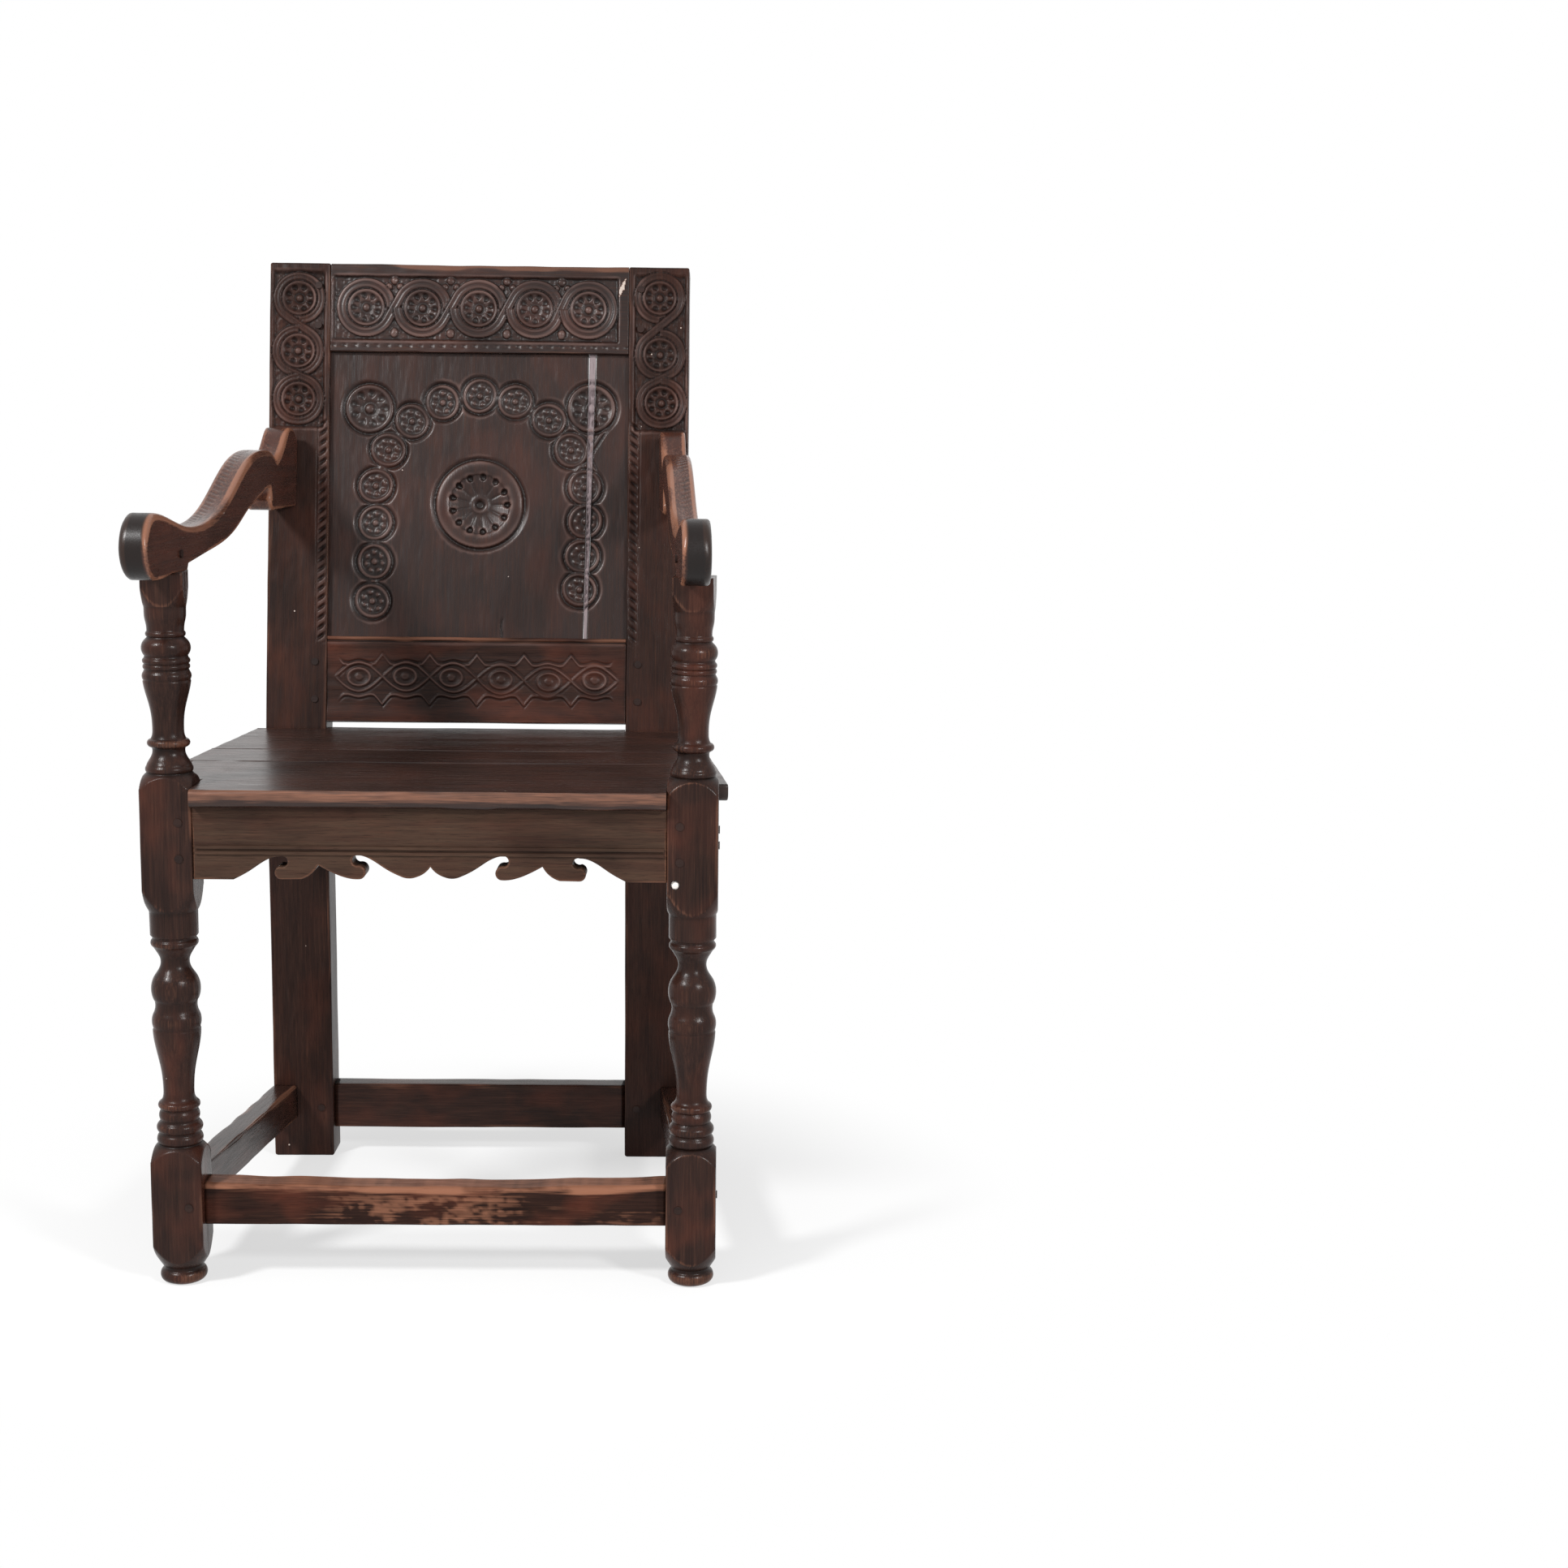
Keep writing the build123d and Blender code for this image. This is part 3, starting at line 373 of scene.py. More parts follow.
def with_ends(along, limits, ends):
    """Rows of a timber with those of its ends: their places, their four edges, and how much each row
    shows, 1 on the body and 0 on a tenon or an end face. Wear and unevenness are multiplied by it."""
    along = np.array(along, float)
    edges = np.array([np.broadcast_to(np.asarray(edge, float), along.shape) for edge in limits])
    live = np.ones(len(along))
    for direction, end in ((-1, ends[0]), (1, ends[1])):
        if end == "cut":
            continue
        # the rows are turned so that this end comes last, and turned back after its rows are added
        along, edges, live = along[::direction].copy(), edges[:, ::direction], live[::direction]
        if end[0] == "round":
            extra, inset = rounded_end(along[-1], direction, end[1])
            extra_edges = edges[:, -1:] + np.outer((1, -1, 1, -1), inset)
            extra_live = np.append(np.ones(len(extra) - 1), 0.0)
            along[-1] -= direction * end[1]
        else:
            extra = np.array([along[-1], along[-1] + direction * end[1]])
            extra_edges = np.repeat(np.array(end[2:], float)[:, None], 2, axis=1)
            extra_live = np.zeros(2)
        along = np.concatenate([along, extra])[::direction]
        edges = np.concatenate([edges, extra_edges], axis=1)[:, ::direction]
        live = np.concatenate([live, extra_live])[::direction]
    return along, edges, live


def crease_jumps(mesh, along, level, ring):
    """Creases the rows at a jump of the width, so that the step there doesn't shade the faces."""
    jumps = np.flatnonzero(np.min(np.abs(along[:, None] - np.array(level)), axis=1) < 0.01)
    ends_of = np.empty(2 * len(mesh.edges), np.int32)
    mesh.edges.foreach_get("vertices", ends_of)
    row = ends_of.reshape(-1, 2) // ring
    sharp = mesh.attributes.new("sharp_edge", "BOOLEAN", "EDGE")
    sharp.data.foreach_set("value", (row[:, 0] == row[:, 1]) & np.isin(row[:, 0], jumps))


def timber(name, material, along, limits, place, radii=(1, 1, 0.8, 0.8), ring=(12, 5, 8, 3), relief=None,
           chips=None, thickness=None, ends=("cut", "cut"), seed=1, worn=1.0, level=()):
    """A squared timber: a rounded rectangle carried along a path.

    along holds the rows' places on the path and limits their four edges: left, right, front, back.
    place turns (across, along, depth) to world points. Each row's corner radii swell and shrink with
    a slow noise, as worn arrises do, and every face wanders inwards by a slow noise. relief(across,
    along) is cut into the front face, chips(across, along, depth) wears the stain away where it is
    more than 0 and bares it where it is 1, and thickness(across, along) thins the timber from the
    back. worn is how much the arrises are worn, as a number or as worn(across, along). An end is
    "cut", ("round", radius) or what tenon() gives. level holds the places where the width jumps, and
    round them the faces stay flat.
    """
    carving = bpy.context.scene.wainscot_carving
    along, edges, live = with_ends(along, limits, ends)
    base, shift, face, share = section_ring(*ring)
    radius = np.array([r * (0.55 + 1.1 * noise(along, 37 * i, 0, (28, 1, 1), seed))
                       for i, r in enumerate(radii)])
    radius = radius * (millimetres(carving.worn_edge) / 1.6)
    room = np.minimum(edges[1] - edges[0], edges[3] - edges[2]) * 0.45
    radius = np.minimum(radius, np.maximum(room, 0.05)) * np.where(live > 0, 1, 0.3)
    across = edges[0][:, None] + (edges[1] - edges[0])[:, None] * base[:, 0]
    depth = edges[2][:, None] + (edges[3] - edges[2])[:, None] * base[:, 1]
    across = across + np.einsum("kr,kp->rp", radius, shift[:, :, 0])
    depth = depth + np.einsum("kr,kp->rp", radius, shift[:, :, 1])
    way = np.repeat(along[:, None], len(base), axis=1)
    if thickness is not None:
        depth = depth * thickness(across, way)
    free = live[:, None]
    for at in level:
        free = free * smooth_step(1, 16, np.abs(way - at))
    wander = millimetres(carving.unevenness) * free * noise(way, across, depth, (70, 26, 26), seed + 5)
    across = across + wander * (1 - 2 * base[:, 0])
    depth = depth + wander * (1 - 2 * base[:, 1])
    width = np.where(face % 2 == 0, (edges[1] - edges[0])[:, None], (edges[3] - edges[2])[:, None])
    arris = np.exp(-share * width / 2.2) * np.where(face == 2, 0.5, 1)
    patches = smooth_step(0.35, 0.75, noise(way, across, depth, (55, 30, 30), seed + 9))
    share_worn = worn(across, way) if callable(worn) else worn
    wear = np.minimum(share_worn * arris * (0.25 + 0.75 * patches), 1) * live[:, None]
    recess, rub = np.zeros_like(wear), np.zeros_like(wear)
    front = face == 0
    if relief is not None:
        cut = relief(across[:, front], way[:, front]) * np.broadcast_to(free, way.shape)[:, front]
        soft = blurred(cut, 4)
        depth[:, front] += cut
        # raised places of the relief get the rub colour: rubbed stain and painted highlight
        rub[:, front] = np.clip((soft - cut) / FULL_SHADE, 0, 1) * (0.35 + 0.65 * patches[:, front])
        # hollows of the relief get the dirt colour: dark wax and painted shade
        recess[:, front] = np.clip((cut - soft) / FULL_SHADE, 0, 1)
    if chips is not None:
        wear = np.maximum(wear, 2 * chips(across, way, depth) * live[:, None])
    points = place(across, way, depth).reshape(-1, 3)
    grain = np.stack([way, across, depth], axis=-1).reshape(-1, 3) * 0.001 + GRAIN_SHIFT * seed
    attributes = {"grain": grain, "wear": wear.ravel(), "rub": rub.ravel(), "recess": recess.ravel()}
    piece = put_mesh(name, name, [(points, tube_faces(len(along), len(base)))], attributes, material)
    if level:
        crease_jumps(piece.data, along, level, len(base))
    return piece


def box_shell(points):
    """The faces of a box of eight corners, the lower four first, each four in a circle."""
    quads = np.array([(0, 1, 2, 3), (7, 6, 5, 4), (0, 4, 5, 1), (1, 5, 6, 2), (2, 6, 7, 3), (3, 7, 4, 0)])
    return np.asarray(points, float), [quads[:, ::-1]]


def plate(name, material, outline, half_width, place, edge_near, edge_far, layers=6, relief=None,
          tenons=(), flat=(2.5, 1.0), handled=None, seed=1, worn=1.0):
    """A flat shape cut out of a plank: a closed outline carried across the plank's width.

    outline runs anticlockwise, edge_near and edge_far hold the radius of its rounded edge at each
    point on the two sides. On a quarter circle of that radius the outline draws in along its inward
    normal as it turns into the flat side, and flat holds how far it goes on across that side.
    relief(length, across) is cut into the rim, and its cuts take the dark of wax and of painted shade.
    handled(x, across) says how far hands have rubbed it pale, and how far it is painted black as grease
    and as painted shade.
    """
    points = np.asarray(outline, float)
    ahead = np.roll(points, -1, axis=0) - points
    behind = points - np.roll(points, 1, axis=0)
    tangent = (ahead / np.maximum(np.hypot(*ahead.T), 1e-6)[:, None]
               + behind / np.maximum(np.hypot(*behind.T), 1e-6)[:, None])
    tangent /= np.maximum(np.hypot(*tangent.T), 1e-6)[:, None]
    inward = np.column_stack([-tangent[:, 1], tangent[:, 0]])
    length = np.concatenate([[0], np.cumsum(np.hypot(*ahead[:-1].T))])
    rows = []
    for sign, edge in ((-1, edge_near), (1, edge_far)):
        side_rows = [(sign * half_width + 0 * edge, edge + flat[0], 0.0),
                     (sign * half_width + 0 * edge, edge + flat[1], 0.5)]
        side_rows += [(sign * (half_width - edge * (1 - np.cos(a))), edge * (1 - np.sin(a)), 1.0)
                      for a in np.linspace(0, pi / 2, 5)]
        rows.append(side_rows)
    middle = [(f * (half_width - edge_far) - (1 - f) * (half_width - edge_near), 0 * edge_near, 0.0)
              for f in np.linspace(0, 1, layers + 2)[1:-1]]
    stack = rows[0] + middle + rows[1][::-1]
    across = np.array([row[0] for row in stack])
    inset = np.array([row[1] for row in stack])
    live = np.array([row[2] for row in stack])[:, None]
    way = np.repeat(length[None, :], len(stack), axis=0)
    order = np.arange(len(stack))
    rim = (order >= len(rows[0]) - 1) & (order <= len(rows[0]) + layers)
    recess = np.zeros_like(way)
    if relief is not None:
        cut = relief(way, across) * rim[:, None]
        inset = inset + cut
        # cuts into the rim take the dirt colour: dark wax and painted shade
        recess = np.clip(cut / FULL_SHADE, 0, 1)
    drawn = points[None] + inset[..., None] * inward[None]
    world = place(drawn[..., 0], drawn[..., 1], across)
    patches = smooth_step(0.3, 0.75, noise(way, across, 0, (48, 20, 1), seed + 9))
    fade = np.exp(-np.maximum(half_width - np.abs(across), 0) / 4.0) * (live == 0) * rim[:, None]
    wear = worn * np.maximum(live, fade) * (0.3 + 0.7 * patches)
    if handled is not None:
        rubbed, greased_and_shaded = handled(drawn[..., 0], across)
        # the nose is painted black through the dirt colour: grease and painted shade
        wear = np.maximum(wear, rubbed * rim[:, None]) * (1 - 0.8 * greased_and_shaded * (live < 1))
        recess = np.maximum(recess, greased_and_shaded)
    grain = np.stack([drawn[..., 0], drawn[..., 1], across], axis=-1).reshape(-1, 3) * 0.001
    grain = grain + GRAIN_SHIFT * seed
    shells = [(world.reshape(-1, 3), tube_faces(*across.shape))] + [box_shell(corners) for corners in tenons]
    extra = 8 * len(tenons)
    attributes = {"grain": np.concatenate([grain, np.zeros((extra, 3))]),
                  "wear": np.append(wear.ravel(), np.zeros(extra)),
                  "recess": np.append(recess.ravel(), np.zeros(extra))}
    return put_mesh(name, name, shells, attributes, material)


# ---- Carving, as depths of cut in millimetres ----

def groove(distance, width, depth):
    """Rounded cut along a line, deepest where the distance to the line is nothing."""
    return depth * np.clip(1 - (distance / (width / 2)) ** 2, 0, 1)


def dome(x, y, radius_x, radius_y):
    """Height from 0 to 1 of a low oval dome."""
    return np.sqrt(np.clip(1 - (x / radius_x) ** 2 - (y / radius_y) ** 2, 0, 1))


def rosette(x, y, radius, petals, turn=0.0):
    """Round flower in a shallow bowl: a ridge inside its rim, petals with a nick at the end of each
    crease between them, and a button in a pit."""
    r = np.hypot(x, y)
    pitch = 2 * pi * 0.62 * radius / petals
    sideways = (((np.arctan2(y, x) + turn) * petals / (2 * pi)) % 1 - 0.5) * pitch
    nick = np.clip(1 - (sideways / (0.36 * pitch)) ** 2 - ((r - 0.62 * radius) / (0.17 * radius)) ** 2, 0, 1)
    crease = swell(sideways, 1.1) * smooth_step(0.25, 0.4, r / radius) * (r < 0.62 * radius)
    bowl = 0.5 + 1.9 * np.clip(1 - (r / radius) ** 2, 0, 1)
    ridge = swell(r - 0.87 * radius, 0.09 * radius)
    pit = swell(r - 0.27 * radius, 0.08 * radius)
    flower = (bowl - 0.9 * ridge + 1.3 * nick ** 0.7 + 0.35 * crease + 0.8 * pit
              - 1.9 * dome(x, y, 0.19 * radius, 0.19 * radius))
    return np.where(r < radius, flower, 0) + groove(r - radius, 3.2, 1.1)


def to_stretch(x, y, first, last):
    """Distance to the straight stretch between two points."""
    (ax, ay), (bx, by) = first, last
    length = max((bx - ax) ** 2 + (by - ay) ** 2, 1e-6)
    t = np.clip(((x - ax) * (bx - ax) + (y - ay) * (by - ay)) / length, 0, 1)
    return np.hypot(x - ax - t * (bx - ax), y - ay - t * (by - ay))


def band_profile(distance, half):
    """Cut across a raised band: a rounded back with a fine channel along it, steep at the edges."""
    return (0.1 + 0.55 * swell(distance, 0.2 * half) + 0.5 * (distance / half) ** 2
            + 1.9 * smooth_step(half * 0.8, half, distance))


def running_band(p, q, centres, radius, half, cut):
    """Band that winds between round centres on one line.

    It runs round one side of each centre, crosses on the common inner tangent and runs round the
    other side of the next. Each length overlaps the one before, so it is laid over what is cut.
    """
    around = [(np.hypot(p - cx, q - cy), np.arctan2(q - cy, p - cx) % (2 * pi)) for cx, cy in centres]

    def lay(cut, distance):
        """The band in place of what is cut there."""
        return np.where(distance < half, band_profile(distance, half), cut)

    cut = lay(cut, np.where(around[0][1] > pi, np.abs(around[0][0] - radius), 99))
    for k, (here, there) in enumerate(zip(centres[:-1], centres[1:])):
        lean = np.arccos(min(2 * radius / (there[0] - here[0]), 0.985))
        low = np.array(here) + radius * np.array([np.cos(lean), np.sin(lean)])
        high = np.array(there) - radius * np.array([np.cos(lean), np.sin(lean)])
        line = to_stretch(p, q, low, high)
        first = np.where((around[k][1] > lean) & (around[k][1] < pi), np.abs(around[k][0] - radius), 99)
        second = np.where(around[k + 1][1] > pi + lean, np.abs(around[k + 1][0] - radius), 99)
        cut = lay(cut, np.minimum(np.minimum(first, second), line))
    return lay(cut, np.where(around[-1][1] < pi, np.abs(around[-1][0] - radius), 99))


def nick_row(along, across, pitch, size):
    """Row of short gouge nicks, each deepest at one end."""
    t = (along / pitch) % 1 - 0.5
    return np.clip(1 - (across / size) ** 2, 0, 1) * np.clip(1 - np.abs(t) / 0.34, 0, 1) * (0.7 + 0.6 * t)


def hand_cut(across, along, seed):
    """How deep the cut is at each place, as a share: hand work is uneven and wear softens it."""
    return 0.75 + 0.5 * noise(along, across, 0, (22, 22, 1), seed)


def carving_depth():
    """Factor for all cuts: their ground is written as 2.2 mm deep."""
    return millimetres(bpy.context.scene.wainscot_carving.depth) / 2.2


CREST_CENTRES = (-131, -66.5, -1.5, 63, 125)
CREST_MIDDLE = 486.5


def crest_relief(v, x):
    """Crest rail: five rosettes inside a running band, sprigs above, knobs and punch marks below."""
    y = v - CREST_MIDDLE
    sunk = plateau(-40, -35, 34, 38, y) * plateau(-171, -165, 157, 161, x)
    cut = sunk * (2.1 + 0.6 * noise(x, v, 0, (3, 3, 1), 3)) + 0.3 * noise(x, v, 0, (12, 5, 1), 6)
    for here, there in zip(CREST_CENTRES[:-1], CREST_CENTRES[1:]):
        middle = (here + there) / 2
        for dx, dy, size in ((0, 31.5, 5.0), (-6.5, 24.5, 4.2), (6.5, 24.5, 4.2)):
            cut = cut - 2.3 * dome(x - middle - dx, y - dy, size, size) * sunk
        cut = cut - 2.5 * dome(x - middle, y + 29, 5.0, 5.6) * sunk
    for k, centre in enumerate(CREST_CENTRES):
        inside = np.hypot(x - centre, y) < 24
        cut = np.where(inside, rosette(x - centre, y, 22.5, 9, 0.4 * k), cut)
    cut = running_band(x, -y, [(c, 0) for c in CREST_CENTRES], 28.4, 6.0, cut)
    cut = cut + 0.9 * nick_row(x, y + 44, 12.5, 2.8)
    cut = cut + 1.2 * smooth_step(44, 51, y) * noise(x, 0, 0, (18, 1, 1), 8)
    return cut * hand_cut(v, x, 4) * carving_depth()


def crest_chips(v, x, d):
    """Splinter lost at the right end of the crest rail."""
    across = x - 164 - 0.35 * (v - 512)
    ragged = 0.9 + 2.6 * noise(v, x, 0, (4, 2, 1), 9)
    return (np.abs(across) < ragged * np.clip(1 - ((v - 513) / 11) ** 2, 0, 1)) * (d < 14)


def stile_relief(side):
    """Stile: three rosettes in a running band at the top, and a row of nicks down the inner edge."""
    left, right = ((208, 496.3), (209, 435.4), (208, 379.6)), ((207, 501.4), (208, 435.4), (210, 379.6))
    centres = left if side < 0 else right

    def relief(x, v):
        out = side * x
        sunk = plateau(344, 350, 524, 530, v) * plateau(177, 181, 235, 239, out)
        cut = sunk * (1.6 + 0.6 * noise(x, v, 0, (3, 3, 1), 13)) + 0.3 * noise(v, x, 0, (14, 6, 1), 16)
        for k, (cx, cv) in enumerate(centres):
            inside = np.hypot(out - cx, v - cv) < 22.5
            cut = np.where(inside, rosette(out - cx, v - cv, 21, 8, 0.7 * k), cut)
        cut = running_band(-v, out, [(-cv, cx) for cx, cv in centres], 25.4, 5.0, cut)
        pitch = millimetres(bpy.context.scene.wainscot_carving.nick_spacing)
        run = plateau(96, 104, 352, 362, v)
        row = nick_row(v + 0.7 * (out - 179), out - 179, pitch, 5.0) * run
        line = (groove(out - 185.5, 2.0, 0.5) + groove(out - 173.6, 1.6, 0.3)) * run
        return (cut + 2.4 * row + line) * hand_cut(x, v, 14 + side) * carving_depth()

    return relief


PANEL_LARGE = ((-127, 370.5, 28.5), (129, 373.5, 28.5))
PANEL_CHAIN = ((-122, 148.2), (-120, 193.9), (-119, 238.5), (-119, 281.2), (-105, 322.8), (-78, 356.3),
               (-43, 378.6), (0, 386.7), (41, 380.6), (80, 359.3), (106, 324.8), (122, 282), (123, 242.6),
               (120, 202), (117, 163.4))
PANEL_CHAIN_RADIUS = 20.5
PANEL_FLOWER = (1.0, 260.9)
PANEL_FLOWER_RADIUS = 51.5


def falling_rim(beyond, width, depth):
    """Ground that is cut down against a raised edge and rises again over a width away from it."""
    return depth * np.clip(1 - np.abs(beyond) / width, 0, 1) ** 1.4 * smooth_step(-1.6, 0.4, beyond)


def linked_ring(x, y, radius, turn):
    """Small roundel of the chain: a round ridge, seven worn petals within it, and a button."""
    angle = np.arctan2(y, x)
    r = np.hypot(x, y) + 0.7 * np.sin(2 * angle + turn)
    outer = swell(r - 0.86 * radius, 0.11 * radius)
    inner = swell(r - 0.5 * radius, 0.14 * radius) * (0.62 + 0.38 * np.cos(7 * angle + turn))
    button = dome(x, y, 0.19 * radius, 0.19 * radius)
    dish = 1.5 + 0.7 * np.clip(1 - (r / radius) ** 2, 0, 1)
    return dish - 1.5 * outer - 1.3 * inner - 1.8 * button


def crossing(x, y, first, second):
    """Distance to the two straight bands that cross between two rings, given as (x, y, radius).

    They are the common inner tangents. The angle between each tangent point and the line of centres
    has the sum of the radii over the distance as its cosine.
    """
    dx, dy = second[0] - first[0], second[1] - first[1]
    apart = np.hypot(dx, dy)
    lean = np.arccos(min((first[2] + second[2]) / apart, 0.999))
    nearest = np.full(np.shape(x), 99.0)
    for sign in (-1, 1):
        angle = np.arctan2(dy, dx) + sign * lean
        start = first[0] + first[2] * np.cos(angle), first[1] + first[2] * np.sin(angle)
        end = second[0] - second[2] * np.cos(angle), second[1] - second[2] * np.sin(angle)
        nearest = np.minimum(nearest, to_stretch(x, y, start, end))
    return nearest


def panel_flower(x, y):
    """Flower of thirteen petals in a bowl, a nick at the end of each crease, inside a raised ring."""
    r = np.hypot(x, y)
    petals = 13
    way = np.abs(((np.arctan2(y, x) * petals / (2 * pi)) % 1) - 0.5) * 2
    bowl = 2.8 * np.clip(1 - (r / 33) ** 2, 0, 1)
    lobes = 0.6 * way ** 4 * plateau(9, 18, 28, 33, r)
    sideways = (1 - way) * pi * 32 / petals
    nicks = 2.6 * np.clip(1 - ((r - 31.8) / 4.2) ** 2 - (sideways / 3.9) ** 2, 0, 1) ** 0.6
    ring = -1.7 * np.sqrt(np.clip(1 - ((r - 42.5) / 8.4) ** 2, 0, 1))
    eye = 1.4 * (1 - smooth_step(3, 6, r)) - 0.8 * swell(r - 8.5, 2.6)
    return 0.4 + bowl + lobes + nicks + ring + eye + groove(r - 50.8, 3, 0.8)


def panel_relief(x, v):
    """Panel: a flower in a raised ring, under an arch of linked rings, with a rosette in each corner."""
    cut = 0.3 * noise(x, v, 0, (7, 30, 1), 23) + 0.15 * noise(x, v, 0, (3, 12, 1), 26)
    cut = cut + groove(x - 28 - 0.6 * np.sin(v / 4), 2.6, 1.0) * (1 - smooth_step(124, 132, v))
    round_pieces = [(cx, cv, PANEL_CHAIN_RADIUS) for cx, cv in PANEL_CHAIN] + list(PANEL_LARGE)
    for cx, cv, radius in round_pieces:
        cut = np.maximum(cut, falling_rim(np.hypot(x - cx, v - cv) - radius, 6.5, 2.7))
    links = [(here, (*there, 17.6)) for here, there in zip(PANEL_CHAIN[:-1], PANEL_CHAIN[1:])]
    for here, there in links + [(PANEL_CHAIN[11], (*PANEL_LARGE[1][:2], 26.0))]:
        away = crossing(x, v, (*here, 17.6), there)
        cut = np.where(away < 4.6, np.maximum(cut, 1.1) - 1.4 * swell(away, 2.1), cut)
    for k, (cx, cv, radius) in enumerate(round_pieces):
        r = np.hypot(x - cx, v - cv)
        made = (linked_ring(x - cx, v - cv, radius, 1.3 * k) if radius == PANEL_CHAIN_RADIUS
                else 0.9 * rosette(x - cx, v - cv, radius, 9, 0.3))
        cut = np.where(r < radius, made, cut)
    cx, cv = PANEL_FLOWER
    beyond = np.hypot(x - cx, v - cv) - PANEL_FLOWER_RADIUS
    ground = np.maximum(cut, falling_rim(beyond, 7, 2.3))
    cut = np.where(beyond < 0, panel_flower(x - cx, v - cv), ground)
    return cut * hand_cut(x, v, 24) * carving_depth()


LOWER_OVALS = ((-135, 59.9), (-82, 60.9), (-29, 59.9), (28, 57.9), (83, 55.8), (136, 57.9))
LOWER_PITCH = 54.2                              # mean distance between the ovals


def lower_relief(v, x):
    """Lower rail: six ovals in two lines that cross between them, inside two lines with cusps."""
    cut = 0.35 * noise(x, v, 0, (40, 7, 1), 33) + 0.9 * plateau(14, 30, 84, 98, v)
    for cx, cv in LOWER_OVALS:
        r = np.hypot((x - cx) / 20.5, (v - cv) / 16)
        inner = 0.9 * np.clip(1 - r / 0.55, 0, 1) - 1.1 * dome(x - cx, v - cv, 5, 4.5)
        rim = groove((r - 0.74) * 17, 3.0, 0.5) - 0.8 * swell((r - 0.62) * 17, 1.5)
        cut = np.where(r < 0.82, 0.9 + rim + inner, cut)
    # the crossing lines are a cosine each side of the ovals' middle line, their distance taken at
    # right angles to its slope
    count = (x - LOWER_OVALS[0][0]) / LOWER_PITCH
    phase = count * pi
    middle = np.interp(x, *np.transpose(LOWER_OVALS))
    link = (np.abs(v - middle) - 16.5 * np.abs(np.cos(phase))) / np.hypot(1, 0.96 * np.sin(phase))
    lines = groove(link - 2.3, 3.4, 0.4) + groove(link + 2.3, 3.4, 0.3) - 0.8 * swell(link, 1.5)
    cut = cut + lines * plateau(-164, -158, 159, 165, x)
    wave = np.abs(count % 1 - 0.5) * 2
    cusp = 11 * np.clip(1 - wave / 0.36, 0, 1) ** 1.3 + 3.2 * np.cos(wave * pi) ** 2
    for sign, base in ((1, 77), (-1, 37)):
        line = v - base - sign * cusp * 0.8
        cut = cut + plateau(-160, -152, 150, 160, x) * (
            groove(line, 3.4, 0.55) - 0.9 * swell(line + sign * 2.9, 1.5))
    cut = cut + groove(v - 101.5, 3.0, 1.4)
    return cut * hand_cut(v, x, 34) * carving_depth()


# ---- Places ----

def on_back(x, v, d):
    """World point on the raked back: x across, v up the slope from the seat, d behind the face."""
    y = stile_face_y + v * sin(rake) + d * cos(rake)
    z = seat_top + v * cos(rake) - d * sin(rake)
    return np.stack([x + 0 * y, y, z], axis=-1)


def on_back_rail(v, x, d):
    """The same for a rail of the back, whose rows run along x."""
    return on_back(x, v, d)


def on_stile(x, a, d):
    """World point on a stile, upright below the seat and raked above it, mitred at the bend."""
    lean = tan(rake / 2) * np.clip(1 - np.abs(a) / 20, 0, 1)
    shifted = a + np.where(a < 0, -1, 1) * d * lean
    raked = on_back(x, shifted, d)
    upright = np.stack([x + 0 * d, stile_face_y + d, seat_top + shifted], axis=-1)
    return np.where((a < 0)[..., None], upright, raked)


def across_chair(face_y):
    """Straight timber across the chair: its rows run along x and its face is at face_y."""
    def place(z, x, d):
        return np.stack([x + 0 * d, face_y + d, z + 0 * d], axis=-1)
    return place


# ---- Materials ----

def new_node(tree, kind, settings, links=()):
    """Adds a node, sets its properties and sockets by name or number, and links its inputs."""
    node = tree.nodes.new(kind)
    for key, value in settings.items():
        if isinstance(key, str) and hasattr(node, key):
            setattr(node, key, value)
        else:
            node.inputs[key].default_value = value
    for key, source in links:
        tree.links.new(source, node.inputs[key])
    return node


def new_material(name):
    """Empty material with its Principled shader linked to the output."""
    material = bpy.data.materials.new(name)
    material.use_nodes = True
    tree = material.node_tree
    tree.nodes.clear()
    shader = new_node(tree, "ShaderNodeBsdfPrincipled", {"IOR": 1.47})
    new_node(tree, "ShaderNodeOutputMaterial", {}, ((0, shader.outputs[0]),))
    return material, tree, shader


